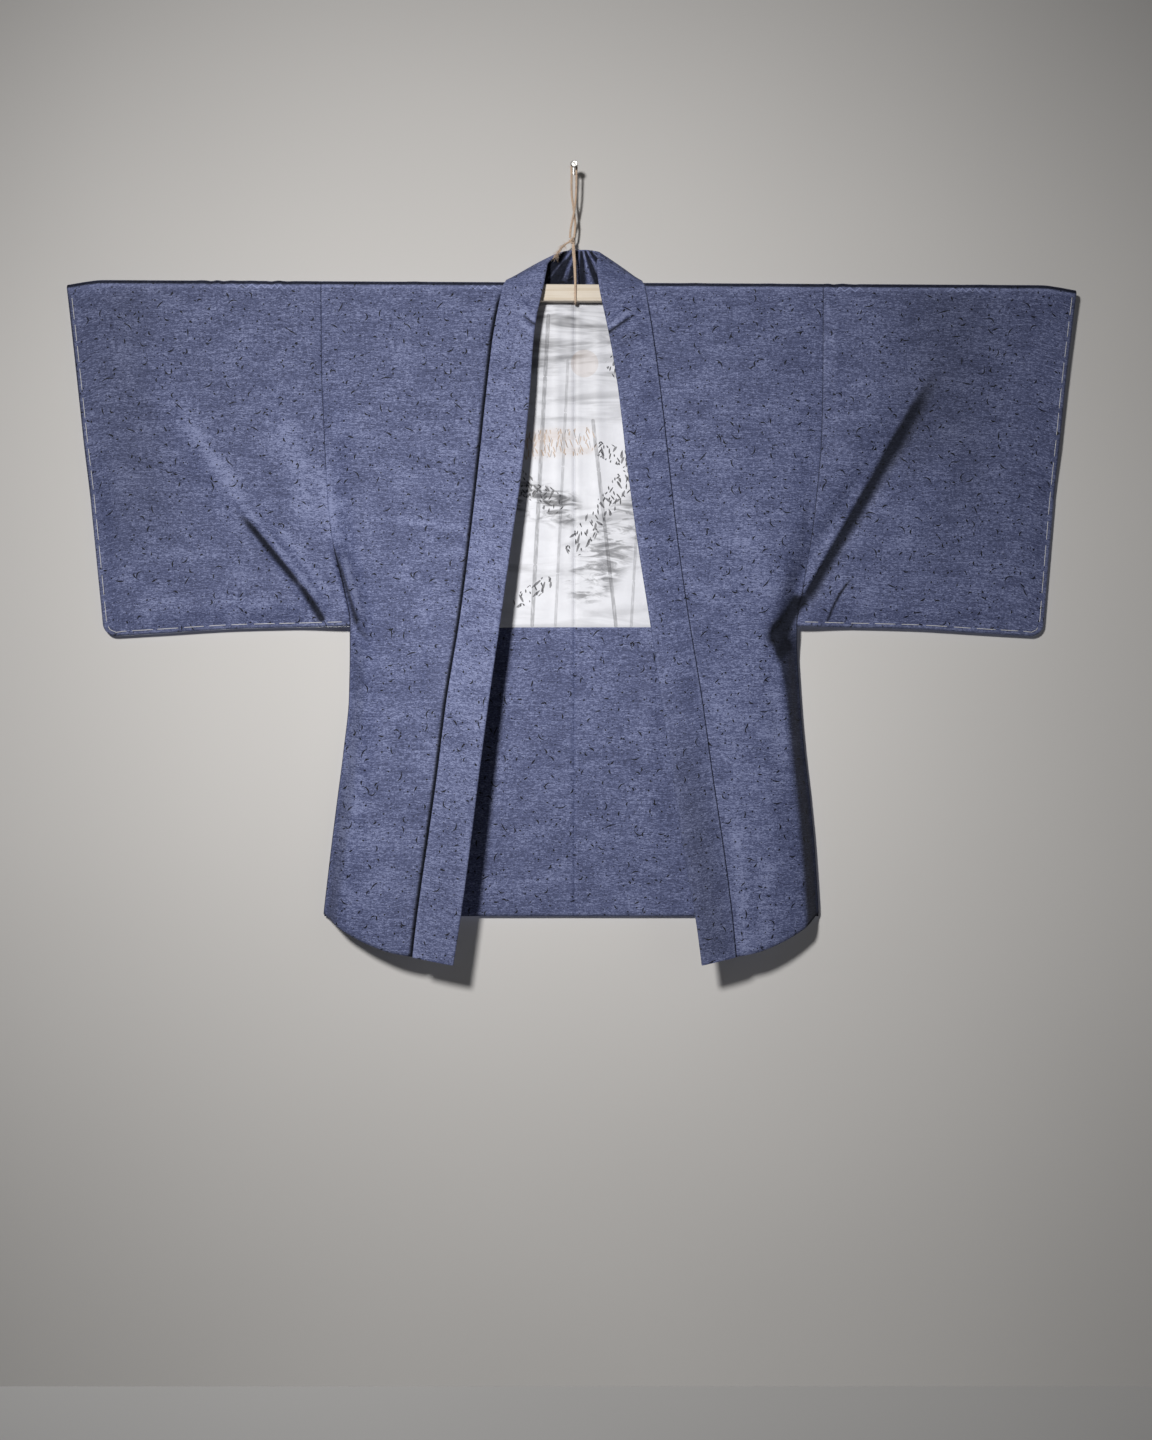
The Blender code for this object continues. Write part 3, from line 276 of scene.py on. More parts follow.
# Painted light on the silk: a painted highlight along a ridge or over a lit area, above 0, and painted shade in a
# fold or over an area turned from the lamp, below 0.
PAINTED_LIGHT_LINES = lines(
    front_left=(
        (0.3308, -0.6023, 0.366, -0.545, -1.15, 0.0058, 0.1, 0.3),
        (0.3545, -0.5634, 0.454, -0.4412, -1.2, 0.0054, 0.2, 0.35),
        (0.327, -0.474, 0.284, -0.613, -0.85, 0.006, 0.45, 0.12, 0.0015),
        (0.2873, -0.6075, 0.2649, -0.6273, -0.55, 0.0034, 0.1, 0.4),
        (0.3163, -0.5772, 0.4165, -0.4507, 0.65, 0.0072, 0.2, 0.4, -0.004),
        (0.33, -0.58, 0.4459, -0.4353, 0.9, 0.0046, 0.2, 0.2),
        (0.4244, -0.4665, 0.5391, -0.2886, 0.85, 0.0119, 0.25, 0.55),
        (0.4033, -0.2688, 0.3374, -0.5034, 0.6, 0.0171, 0.45, 0.25),
        (0.3348, -0.3808, 0.3124, -0.5139, 0.8, 0.0119, 0.35, 0.3),
        (0.313, -0.49, 0.279, -0.6, 1.1, 0.005, 0.3, 0.25),
        (0.32, -0.5271, 0.299, -0.593, 0.5, 0.0045, 0.3, 0.3),
        (0.2794, -0.4612, 0.1397, -0.4784, 0.5, 0.0053, 0.2, 0.1),
        (0.2821, -0.651, 0.3, -0.96, 0.55, 0.015, 0.3, 0.3),
        (0.3137, -0.9146, 0.2821, -1.0069, 0.4, 0.0119, 0.4, 0.3),
        (0.5588, -0.2161, 0.5061, -0.3874, 0.25, 0.0185, 0.4, 0.5),
        (0.5984, -0.5719, 0.3611, -0.5772, 0.25, 0.0092, 0.3, 0.3),
        (0.2557, -0.8355, 0.261, -1.0069, 0.25, 0.0158, 0.4, 0.3),
        (0.61, -0.15, 0.56, -0.59, -0.27, 0.08, 0.05, 0.4)),
    front_right=(
        (0.2968, -0.5867, 0.4431, -0.331, -1.1, 0.0082, 0.12, 0.42, 0.0, -0.45),
        (0.3945, -0.4121, 0.4867, -0.2566, -0.75, 0.009, 0.35, 0.5, 0.0, -0.45),
        (0.3058, -0.5614, 0.2504, -0.6431, -1.3, 0.0119, 0.15, 0.3, 0.0, -0.3),
        (0.2873, -0.6247, 0.2583, -0.6537, -0.6, 0.0066, 0.2, 0.4),
        (0.3348, -0.6036, 0.373, -0.5364, -1.0, 0.002, 0.1, 0.3, -0.005),
        (0.327, -0.5762, 0.4483, -0.3706, 0.35, 0.008, 0.2, 0.5),
        (0.2913, -0.5535, 0.4086, -0.3479, 0.35, 0.0079, 0.25, 0.5),
        (0.3796, -0.5588, 0.5193, -0.3479, 0.3, 0.0198, 0.4, 0.5),
        (0.34, -0.1765, 0.3321, -0.3347, 0.25, 0.0079, 0.2, 0.5),
        (0.2122, -0.4401, 0.2649, -0.6247, 0.35, 0.0211, 0.45, 0.3),
        (0.2557, -0.6576, 0.2794, -0.8355, 0.45, 0.0119, 0.25, 0.4),
        (0.1858, -0.6247, 0.2254, -0.8751, 0.35, 0.0158, 0.4, 0.4),
        (0.311, -0.4138, 0.2979, -0.5192, -0.3, 0.0066, 0.4, 0.4),
        (0.2069, -0.8224, 0.2214, -1.0438, 0.55, 0.0092, 0.3, 0.1),
        (0.2702, -0.9225, 0.2623, -0.9779, -0.25, 0.0079, 0.4, 0.4),
        (0.253, -0.9014, 0.2451, -1.0267, 0.3, 0.0119, 0.3, 0.3),
        (0.5022, -0.1502, 0.4692, -0.6247, -0.36, 0.0988, 0.05, 0.6),
        (0.21, -0.32, 0.24, -1.05, 0.14, 0.06, 0.2, 0.05)),
    collar_right=(
        (0.1231, -0.6253, 0.186, -1.0511, -0.34, 0.0341, 0.6, 0.05),
        (0.0865, -0.1838, 0.0432, -0.2166, 0.95, 0.0034, 0.25, 0.1),
        (0.0812, -0.1943, 0.0432, -0.2231, -0.95, 0.0025, 0.35, 0.05),
        (0.0865, -0.2127, 0.055, -0.2454, -0.25, 0.0079, 0.4, 0.4)),
    collar_left=(
        (0.14, -0.7, 0.186, -1.0511, -0.2, 0.0341, 0.6, 0.05),
        (0.072, -0.1891, 0.0498, -0.2074, 1.3, 0.0028, 0.2, 0.1),
        (0.0681, -0.1969, 0.0498, -0.2123, -1.2, 0.0024, 0.2, 0.1),
        (0.076, -0.2045, 0.0524, -0.2212, 0.9, 0.0028, 0.3, 0.2)),
    back_left=(
        (0.3308, -0.5996, 0.4429, -0.4467, -0.45, 0.0079, 0.1, 0.5, -0.004),
        (0.4244, -0.4665, 0.5193, -0.3083, 0.5, 0.0132, 0.25, 0.55)),
    back_right=(
        (0.2965, -0.5798, 0.4376, -0.3347, -0.45, 0.0079, 0.1, 0.5),
        (0.344, -0.5456, 0.4692, -0.3479, 0.45, 0.0132, 0.25, 0.55)))

# Small crinkles in the pressed edge over the batten: where along it, how high, and how wide.
EDGE_CRINKLES = table(
    "x height width",
    (-0.49, 0.0007, 0.006), (-0.478, -0.0009, 0.004), (-0.47, 0.001, 0.0035), (-0.461, -0.0008, 0.004),
    (-0.45, 0.0006, 0.005), (-0.425, 0.0005, 0.006), (-0.398, -0.0009, 0.004), (-0.388, 0.0009, 0.0045),
    (-0.376, -0.0006, 0.005), (-0.21, 0.0005, 0.009), (0.16, 0.0005, 0.01), (0.26, 0.0004, 0.008),
    (0.335, 0.0006, 0.0045), (0.344, -0.0008, 0.0035), (0.356, 0.0008, 0.004), (0.372, -0.0006, 0.0045),
    (0.54, 0.0004, 0.012))

# Pleats of the collar's inner half round the neck, by the seam end's place across, then depth and width.
NECK_PLEATS = table(
    "x depth width",
    (-0.07, -0.0014, 0.01), (-0.045, 0.0016, 0.007), (-0.03, -0.001, 0.005), (-0.02, 0.0014, 0.005),
    (-0.008, -0.0012, 0.005), (0.002, 0.0012, 0.0045), (0.012, -0.0014, 0.0045), (0.023, 0.0016, 0.005),
    (0.034, -0.0014, 0.005), (0.046, 0.0016, 0.006), (0.06, -0.0014, 0.007), (0.074, 0.001, 0.008))

NECK_SHADE = 0.58         # painted shade inside the neck, and the same towards the left, where the collar's shadow falls
NECK_SHADE_LEFT = 1.30
NECK_LEFT = (-0.0145, 0.006)      # the darker painted shadow on the left begins here, over this width
NECK_PLEAT_TONE = 420.0   # how much a metre of a pleat's height lightens that painted shade on a crest and deepens it in a hollow
COLLAR_PAINTED_LIGHT = {-1: 0.30, 1: -0.05}      # painted light of the turned-out halves: the left made lighter, the right given a little painted shade
TOP_REACH = 0.0250        # the look "top" falls from 1 on the cloth's ridge to 0 this far below it
EDGE_FRONT = 0.012        # height below the pressed edge over which a crinkle runs on down the front
EDGE_HEIGHT = 0.5         # share of a crinkle that lifts the cloth over the batten
SEAM_DIP = 0.0006         # how far the cloth draws in at a seam
SEAM_WIDTH = 0.0020
HEM_ROLL = 0.0012         # how far the last of a hem turns towards the wearer
HEM_WIDTH = 0.0050
VALLEY = {-1: (0.0050, 0.0018), 1: (0.0016, 0.0006)}      # beside the collar: its groove and the slope to it
VALLEY_STARTS = (0.003, 0.03)     # it deepens over this width past the seam and this height below the batten
GROOVE_WIDTH = 0.0045
SLOPE_WIDTH = 0.0110
SIDE_ROLL = {-1: 0.0030, 1: 0.0100}      # how far a front turns back at its side
SIDE_WIDTH = 0.0100
SIDE_START = 0.05         # height below the underarm over which that begins
GROOVE_SHADE = {-1: 0.0060, 1: 0.0024}      # width over which the dark line beside the collar fades
GROOVE_START = 0.4        # it is whole up to this share of that width
GROOVE_DARK = 0.95        # how dark that painted shade is
SLOPE_DARK = 90.0         # painted shade: how much a metre of the slope's depth darkens the front
SIDE_SHADE = {-1: 0.12, 1: 0.72}      # how dark a front is where it turns back at its side
SIDE_SHADE_WIDTH = {-1: 0.0015, 1: 0.0168}
SIDE_SHADE_SOFT = 0.008   # width of that shade's soft border
SIDE_SHADE_MORE = (0.9, 0.06)     # it is wider by this share at the underarm, fading over this height
SIDE_SHADE_START = (0.02, 0.04)   # it begins this far above the underarm, over this height
BACK_SHARE = 0.6          # the back's finer folds are this much of the front's depth
BACK_PUSH = (-0.001, 0.0045)      # before that share, they push it no further in and out than this
HEM_LINE = (0.55, 0.0008, 0.0016)     # thin dark lines, painted shade where a turned edge rounds away, and at a seam: how dark, how far from the edge they begin to fade, and over what width
SEAM_LINE = (0.75, 0.0002, 0.0011)    # the edge they begin to fade, and over what width
WORN_HIGHLIT_EDGE = 0.003         # width over which a hem, a cuff and the collar's fold are worn and given a painted highlight
WORN_HIGHLIT_COLLAR = 0.0025      # the same for the collar's free edge
WORN_LINING = 0.002       # and for the lining's upper and lower edges
WORN_HIGHLIT_TOP = (0.6, 0.012)   # how much the cloth is worn and given a painted highlight on its ridge over the batten, and how far from it
FREE_RIPPLE = {"front": 0.0009, "back": 0.0006, "gusset": 0.0012, "lining": 0.0004, "collar": 0.0004}
RIPPLE_WAVES = ((9.1, 23.0, 0.3), (31.0, 8.3, 1.9), (47.0, -19.0, 4.1), (-22.0, 41.0, 2.6), (71.0, 33.0, 5.2))
RIM_ROUND = 0.45          # a cloth's rim stands out by this share of its wall
GUSSET_SHADE = 0.35        # painted shade in the depth of the gusset's fold
GUSSET_WAVE = (0.05, 1.5) # its unevenness: width that it is read over, and where it begins
LINING_SINK = -0.0003     # the deepest crease of the lining
COVER_STARTS = (0.006, 0.02)      # its folds grow over this width from the middle and this height from its top
PLEAT_ENDS = (0.25, 0.15) # a pleat fades over these shares of the collar's inner half
COLLAR_LOOSE = 0.2        # the turned-out half follows the creases beyond this share

# Where each piece lies in the flat coordinates, so that no two wear the same part of the weave.
SLEEVE_FLAT_X = 0.37
GUSSET_FLAT_X = 0.81
GUSSET_FLAT_WIDTH = 0.06
COLLAR_FLAT_X = 1.3

# ---------------------------------------------------------------- how finely the cloth is divided
PANEL_COLUMNS = 90        # across a front and, beyond the neck, across a back
CENTRE_COLUMNS = 20       # across a back from its centre seam to the neck
UPPER_ROWS = 128          # from the batten to the underarm
LOWER_ROWS = 90            # from the underarm to the hem
SLEEVE_COLUMNS = 110
COLUMN_PACK = 0.70        # the body's columns are finer at both edges by this share
SLEEVE_PACK = (1.2, 1.35)     # powers that make the sleeve's columns and rows finer at the armhole and the top
ARCH_ROWS = 5             # round each of the batten's upper edges
GUSSET_COLUMNS = 14
COVER_COLUMNS = 74        # across half of the lining
COVER_ROWS = 96
COLLAR_STEP = 0.0045      # along the collar
COLLAR_FINE = 0.35        # its steps are this much shorter above the height CREASED_Z
CREASED_Z = -0.245
COLLAR_INNER = 12         # points across the collar's hidden half
COLLAR_BEND = 7           # round its fold
COLLAR_OUTER = 36         # across its turned-out half
COLLAR_Z = (-0.162, -0.175, -0.200, -0.240, *np.linspace(-0.290, -1.0455, 17))
GUSSET_LEVELS = 80


def length_setting(name, description, default, low, high):
    """A length that a user may change."""
    return FloatProperty(name=name, description=description, default=default, min=low, max=high, precision=4,
                         subtype="DISTANCE", unit="LENGTH")


def colour_setting(name, description, default):
    """A colour that a user may change."""
    return FloatVectorProperty(name=name, description=description, default=default, size=3, min=0.0, max=1.0,
                               subtype="COLOR")


class HaoriSizes(bpy.types.PropertyGroup):
    """Sizes of cloth, stitches and twine."""

    shell: length_setting("Shell cloth", "Thickness of the shell cloth", 0.0015, 0.0008, 0.0020)
    lining: length_setting("Lining", "Thickness of the lining and of the turned-up hem", 0.0011, 0.0006, 0.0015)
    twine: length_setting("Twine", "Diameter of the twine", 0.0028, 0.0020, 0.0030)
    stitch: length_setting("Stitch", "Length of a basting stitch", 0.0300, 0.0100, 0.0500)
    stitch_gap: length_setting("Stitch gap", "Space between two basting stitches", 0.0055, 0.0020, 0.0200)
    thread: length_setting("Basting thread", "Diameter of the basting thread", 0.0008, 0.0005, 0.0020)
    inset: length_setting("Stitch inset", "Distance of the basting from the cloth's edge", 0.0050, 0.0020, 0.0100)
    fibres: IntProperty(
        name="Loose fibres", description="Loose fibres along the twine", default=220, min=0, max=800)
    frayed: IntProperty(
        name="Frayed fibres", description="Fibres of the twine's frayed ends", default=170, min=10, max=400)


class HaoriColours(bpy.types.PropertyGroup):
    """Colours of the finishes."""

    cloth: colour_setting("Cloth", "Main colour of the shell cloth", (0.076, 0.091, 0.184))
    # The light yarn's colour also paints the worn and highlit edges and, made paler, the painted highlight strip.
    yarn: colour_setting("Light yarn", "Lighter weft yarns of the shell cloth", (0.234, 0.266, 0.436))
    shade: colour_setting("Dark yarn", "Darker weft yarns of the shell cloth", (0.030, 0.036, 0.074))
    # The fleck colour is also the colour of the painted shade in folds and along the batten's top.
    fleck: colour_setting("Fleck", "Short black threads in the shell cloth", (0.004, 0.005, 0.008))
    lining: colour_setting("Lining", "Ground of the lining", (0.675, 0.690, 0.740))
    ink: colour_setting("Ink", "Ink wash on the lining", (0.030, 0.031, 0.038))
    ochre: colour_setting("Ochre", "Moon and reeds on the lining", (0.400, 0.250, 0.130))
    wood: colour_setting("Wood", "Planed softwood of the batten", (0.655, 0.590, 0.500))
    grain: colour_setting("Grain", "Darker grain of the batten", (0.500, 0.410, 0.290))
    jute: colour_setting("Jute", "Twisted jute of the twine", (0.560, 0.420, 0.310))
    steel: colour_setting("Steel", "Bright wire nail", (0.560, 0.550, 0.530))
    thread: colour_setting("Thread", "White basting thread", (0.780, 0.780, 0.780))
    room: colour_setting("Room", "Pale wall and floor", (0.560, 0.552, 0.540))


# ---------------------------------------------------------------- curves and fields
def mix(a, b, t):
    """The value t of the way from a to b."""
    return a + (b - a) * t


def ease(t):
    """Smooth step from 0 to 1."""
    t = np.clip(t, 0.0, 1.0)
    return t * t * (3.0 - 2.0 * t)


def hermite(t, start, end, start_slope, end_slope):
    """Cubic from start to end with the given slopes over the whole step."""
    return (start * (1 + 2 * t) * (1 - t) ** 2 + end * t * t * (3 - 2 * t)
            + start_slope * t * (1 - t) ** 2 - end_slope * t * t * (1 - t))


def shared_slope(before, after):
    """Slope at a point between two rises, level where they turn."""
    product = before * after
    total = np.where(product > 0, before + after, 1.0)
    return np.where(product > 0, 2.0 * product / total, 0.0)


def across(x, stops, heights):
    """Height at x on a smooth line through stops, without overshoot."""
    rises = [(heights[k + 1] - heights[k]) / (stops[k + 1] - stops[k]) for k in range(len(stops) - 1)]
    slopes = [rises[0]]
    slopes += [shared_slope(a, b) for a, b in zip(rises, rises[1:])]
    slopes += [rises[-1]]
    result = heights[0]
    for k in range(len(stops) - 1):
        span = stops[k + 1] - stops[k]
        t = np.clip((x - stops[k]) / span, 0.0, 1.0)
        piece = hermite(t, heights[k], heights[k + 1], slopes[k] * span, slopes[k + 1] * span)
        result = np.where(x >= stops[k], piece, result)
    return result


def curve(rows, column, at, key="z"):
    """A table's column read at a key, on a smooth line through its rows."""
    ordered = sorted(rows, key=lambda row: row[key])
    keys = [row[key] for row in ordered]
    values = [row[column] for row in ordered]
    return across(np.clip(at, keys[0], keys[-1]), keys, values)


def neighbours(items, index):
    """The four items round a step, with the ends repeated."""
    return [items[min(max(index + k, 0), len(items) - 1)] for k in (-1, 0, 1, 2)]


def smooth_step(near, t):
    """The place t of the way from the second to the third of four points, on a smooth line through them."""
    weights = (-t / 2 + t ** 2 - t ** 3 / 2, 1 - 2.5 * t ** 2 + 1.5 * t ** 3,
               t / 2 + 2 * t ** 2 - 1.5 * t ** 3, -t ** 2 / 2 + t ** 3 / 2)
    return sum((point * weight for point, weight in zip(near, weights)), Vector())


def hand(side):
    """Name of a side's table columns."""
    return "left" if side < 0 else "right"


def side_x(side, z):
    """Distance of the armhole or side seam from the middle."""
    return curve(SIDE_LINE, hand(side), z)


def cuff_x(side, z):
    """Distance of the cuff's edge from the middle."""
    return curve(CUFF_LINE, hand(side), z)


def seam_x(side, z):
    """Distance of the collar seam from the middle, on the front."""
    return curve(COLLAR_RUN, "edge_" + hand(side), z) - COLLAR_LAP


def fold_x(side, z):
    """Distance of the collar's fold from the middle, on the front."""
    return curve(COLLAR_RUN, "fold_" + hand(side), z)


def ridge_z(x):
    """Height of the cloth's middle where it crosses the batten's top, at a signed x."""
    return RIDGE_Z - BATTEN_SLOPE * x - curve(DROOP, "drop", abs(x), "x")


def below_arch(side, x, z):
    """Height of the place where the cloth leaves the batten's upper edge above z."""
    return ridge_z(x * side) - ARCH_RADIUS - z


def line_place(row, x, z):
    """How far along a table row's line a place is, as a share, and how far off it."""
    run_x = row["x1"] - row["x0"]
    run_z = row["z1"] - row["z0"]
    length = math.hypot(run_x, run_z)
    t = ((x - row["x0"]) * run_x + (z - row["z0"]) * run_z) / length ** 2
    off = ((x - row["x0"]) * run_z - (z - row["z0"]) * run_x) / length
    off = off - row.get("bow", 0.0) * 4.0 * t * (1.0 - t)
    return t, off / (1.0 - row.get("lean", 0.0) * np.tanh(off / row["width"]))


def lines_push(groups, face, side, x, z):
    """Sum of one face's lines at a distance x from the middle, each fading at its ends and sides."""
    push = np.zeros(np.broadcast(x, z).shape)
    for row in groups.get(face + "_" + hand(side), ()):
        t, off = line_place(row, x, z)
        strength = ease(t / row["fade_in"]) * ease((1.0 - t) / row["fade_out"])
        push = push + row["amount"] * strength * np.exp(-(off / row["width"]) ** 2)
    return push


def free_folds(face, side, x, z):
    """How far the folds of one face push it outwards. They fade out towards the batten."""
    return ease(below_arch(side, x, z) / FOLD_FREE) * lines_push(FOLDS, face, side, x, z)


def painted_fold_light(face, side, x, z):
    """Painted light: from -1, painted shade in the depth of a fold, to 1, a painted highlight on a ridge."""
    return np.clip(lines_push(PAINTED_LIGHT_LINES, face, side, x, z), -1.0, 1.0)


def closed_edge(side, x, z, u):
    """From 0 in the open sleeve to 1 at its closed lower edge and lower cuff."""
    from_bottom = z - curve(SLEEVE_BOTTOM, "z", u, "u")
    bottom = (1.0 - ease(from_bottom / PINCH)) * ease((x - side_x(side, z)) / PINCH_START)
    cuff = (1.0 - ease((cuff_x(side, z) - x) / PINCH)) * ease((CUFF_OPEN_Z + CUFF_EASE - z) / CUFF_EASE)
    return np.maximum(bottom, cuff)


def front_out(side, x, z):
    """How far the front's middle stands out, from the collar seam to the cuff."""
    inner = seam_x(side, z)
    outer = side_x(side, z)
    cuff = cuff_x(side, z)
    stops = [mix(inner, outer, share) for share in PANEL_STOPS]
    stops += [mix(outer, cuff, share) for share in SLEEVE_STOPS]
    names = ("seam", "mid", "near", "side", "arm", "end", "cuff")
    heights = [curve(FRONT_OUT, name, z) for name in names]
    return across(x, stops, heights) + free_folds("front", side, x, z)


def back_out(side, x, z):
    """How far the back's middle stands out from the wall."""
    return curve(BACK_OUT, "out", z) + free_folds("back", side, x, z)


def ripple(x, z, phase):
    """Slight unevenness of cloth that hangs free, between -1 and 1."""
    total = sum(np.sin(across_x * x + down_z * z + shift + phase) for across_x, down_z, shift in RIPPLE_WAVES)
    return total / len(RIPPLE_WAVES)


def crinkle(x):
    """Height of the crinkles in the pressed edge at a signed x."""
    return sum(row["height"] * np.exp(-((x - row["x"]) / row["width"]) ** 2) for row in EDGE_CRINKLES)


def crinkled_ridge(x):
    """Height of the cloth's ridge over the batten at a signed x, with its crinkles."""
    return ridge_z(x) + crinkle(x) * EDGE_HEIGHT


def side_roll(side, x, z):
    """How far a front turns back towards its side seam, below the sleeve."""
    near = np.exp(-((side_x(side, z) - x) / SIDE_WIDTH) ** 2)
    return SIDE_ROLL[side] * near * ease((UNDERARM_Z - z) / SIDE_START)


def beside_collar(side, x, z):
    """How far a front sinks beside the collar's free edge, and the painted shade of its groove and slope there."""
    past = x - seam_x(side, z) - COLLAR_LAP
    groove, slope = VALLEY[side]
    near = 1.0 - ease(past / GROOVE_WIDTH)
    wide = np.exp(-(np.maximum(past, 0.0) / SLOPE_WIDTH) ** 2)
    start_across, start_down = VALLEY_STARTS
    there = ease((x - seam_x(side, z)) / start_across) * ease(below_arch(side, x, z) / start_down)
    dark = 1.0 - ease((past - GROOVE_SHADE[side] * GROOVE_START) / GROOVE_SHADE[side])
    return there * (groove * near + slope * wide), -there * (GROOVE_DARK * dark + SLOPE_DARK * slope * wide)


def hung_front(side, x, z):
    """The front with its finer folds."""
    below = below_arch(side, x, z)
    free = ease(below / FOLD_FREE)
    fine = lines_push(CREASES, "front", side, x, z) + FREE_RIPPLE["front"] * ripple(x, z, side)
    edge = crinkle(x * side) * (1.0 - ease(below / EDGE_FRONT))
    return front_out(side, x, z) + free * fine + edge - side_roll(side, x, z)


def hung_back(side, x, z):
    """The back with its finer folds."""
    free = ease(below_arch(side, x, z) / FOLD_FREE)
    fine = lines_push(CREASES, "back", side, x, z) + FREE_RIPPLE["back"] * ripple(x, z, 3.0 + side)
    return back_out(side, x, z) - free * np.clip(fine, *BACK_PUSH) * BACK_SHARE


def dip(distance):
    """How far the cloth draws in at this distance from a seam."""
    return SEAM_DIP * np.exp(-(distance / SEAM_WIDTH) ** 2)


def roll(distance):
    """How far a hem turns in at this distance from its edge."""
    return HEM_ROLL * np.exp(-(distance / HEM_WIDTH) ** 2)


# ---------------------------------------------------------------- making meshes
def link_piece(name, mesh, slot, *replaced):
    """Link a mesh as a piece that rides on the part and stands for CAD nodes."""
    piece = bpy.data.objects.new(name, mesh)
    bpy.context.scene.collection.objects.link(piece)
    return finish_piece(piece, slot, *replaced)


def finish_piece(piece, slot, *replaced):
    """Let a piece ride on the part and stand for CAD nodes. The slot is not used."""
    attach(piece, "root")
    if replaced:
        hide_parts(*replaced)
    return piece


def grid_faces(columns, rows):
    """Quads of a grid of points numbered column by column, with the first index the column."""
    c, r = np.meshgrid(np.arange(columns - 1), np.arange(rows - 1), indexing="ij")
    corners = (c * rows + r, (c + 1) * rows + r, (c + 1) * rows + r + 1, c * rows + r + 1)
    return np.stack(corners, axis=-1)


def unit(vectors):
    """Vectors of length one."""
    return vectors / np.maximum(np.linalg.norm(vectors, axis=-1, keepdims=True), 1e-12)


def quad_crosses(points, faces):
    """A vector square to each quad, twice as long as the quad's area."""
    corners = points[faces]
    return np.cross(corners[:, 2] - corners[:, 0], corners[:, 3] - corners[:, 1])


def point_normals(points, faces):
    """Normals at the points of a sheet of quads."""
    normals = quad_crosses(points, faces)
    total = np.zeros_like(points)
    for corner in range(4):
        np.add.at(total, faces[:, corner], normals)
    return unit(total)


def open_edges(faces):
    """Edges of a sheet that only one quad has, in that quad's direction."""
    starts = faces.reshape(-1)
    ends = np.roll(faces, -1, axis=1).reshape(-1)
    size = faces.max() + 1
    keys = starts * size + ends
    alone = ~np.isin(ends * size + starts, keys)
    return np.stack((starts[alone], ends[alone]), axis=-1)


def cloth_mesh(name, points, flat, faces, looks, wall, materials, lined_above):
    """A closed wall of cloth with a rounded rim, from a sheet's points, flat coordinates and quads.

    looks holds the sheet's point attributes: edge, 1 at worn edges that also take a painted highlight; tone, painted
    light from -1, painted shade in a fold or in shade, to 1, a painted highlight on a ridge; and top, as near_top
    gives it. The inner face has the second material above lined_above.
    """
    used, faces = np.unique(faces, return_inverse=True)
    faces = faces.reshape(-1, 4)
    points = points[used]
    flat = flat[used]
    normals = point_normals(points, faces)
    rim = open_edges(faces)
    along = unit(points[rim[:, 1]] - points[rim[:, 0]])
    outward = np.zeros_like(points)
    for corner in range(2):
        np.add.at(outward, rim[:, corner], np.cross(along, normals[rim[:, corner]]))
    rim_points = np.unique(rim)
    number = np.zeros(len(points), dtype=int)
    number[rim_points] = np.arange(len(rim_points))
    count = len(points)
    middles = points[rim_points] + unit(outward[rim_points]) * wall * RIM_ROUND
    corners = np.vstack((points + normals * wall / 2, points - normals * wall / 2, middles))
    start, end = rim[:, 0], rim[:, 1]
    start_rim, end_rim = 2 * count + number[start], 2 * count + number[end]
    quads = np.vstack((
        faces, faces[:, ::-1] + count, np.stack((end, start, start_rim, end_rim), axis=-1),
        np.stack((end_rim, start_rim, start + count, end + count), axis=-1)))
    mesh = bpy.data.meshes.new(name)
    mesh.from_pydata(corners.tolist(), [], quads.tolist())
    source = np.concatenate((np.arange(count), np.arange(count), rim_points))
    layer = mesh.uv_layers.new(name="flat")
    layer.data.foreach_set("uv", flat[source[quads.reshape(-1)]].reshape(-1))
    for key, values in looks.items():
        mesh.attributes.new(key, "FLOAT", "POINT").data.foreach_set("value", values.reshape(-1)[used][source])
    for material in materials:
        mesh.materials.append(material)
    slots = np.zeros(len(quads), dtype=int)
    slots[len(faces):2 * len(faces)] = points[faces].mean(axis=1)[:, 2] > lined_above
    mesh.polygons.foreach_set("material_index", slots)
    mesh.update()
    mesh.shade_smooth()
    mesh.set_sharp_from_angle(angle=math.radians(60))
    return mesh


def surface_area(points, faces):
    """Area of a sheet of quads."""
    return float(np.linalg.norm(quad_crosses(points, faces), axis=1).sum() / 2.0)


def sheet_piece(name, sheet, wall, materials, slot, *replaced, lined_above=math.inf):
    """A piece of cloth made from a sheet, and the sheet's area."""
    points, flat, faces, looks = sheet
    mesh = cloth_mesh(name, points, flat, faces, looks, wall, materials, lined_above)
    return link_piece(name, mesh, slot, *replaced), surface_area(points, faces)


def near_edge(distance, width):
    """1 at an edge, falling to 0 about two widths away."""
    return np.exp(-(distance / width) ** 2)


# ---------------------------------------------------------------- cut and hang of each sheet
def over_batten(back, front, ridge):
    """Middle of the cloth over the batten between its back and its front, as arrays of out and z."""
    turn = np.radians(90.0 * np.arange(1, ARCH_ROWS + 1) / ARCH_ROWS)[None]
    rear_out = back + ARCH_RADIUS * (1 - np.cos(turn))
    rear_z = ridge - ARCH_RADIUS * (1 - np.sin(turn))
    turn = np.radians(90.0 * np.arange(ARCH_ROWS) / ARCH_ROWS)[None]
    fore_out = front - ARCH_RADIUS * (1 - np.sin(turn))
    fore_z = ridge - ARCH_RADIUS * (1 - np.cos(turn))
    return np.hstack((rear_out, fore_out)), np.hstack((rear_z, fore_z))


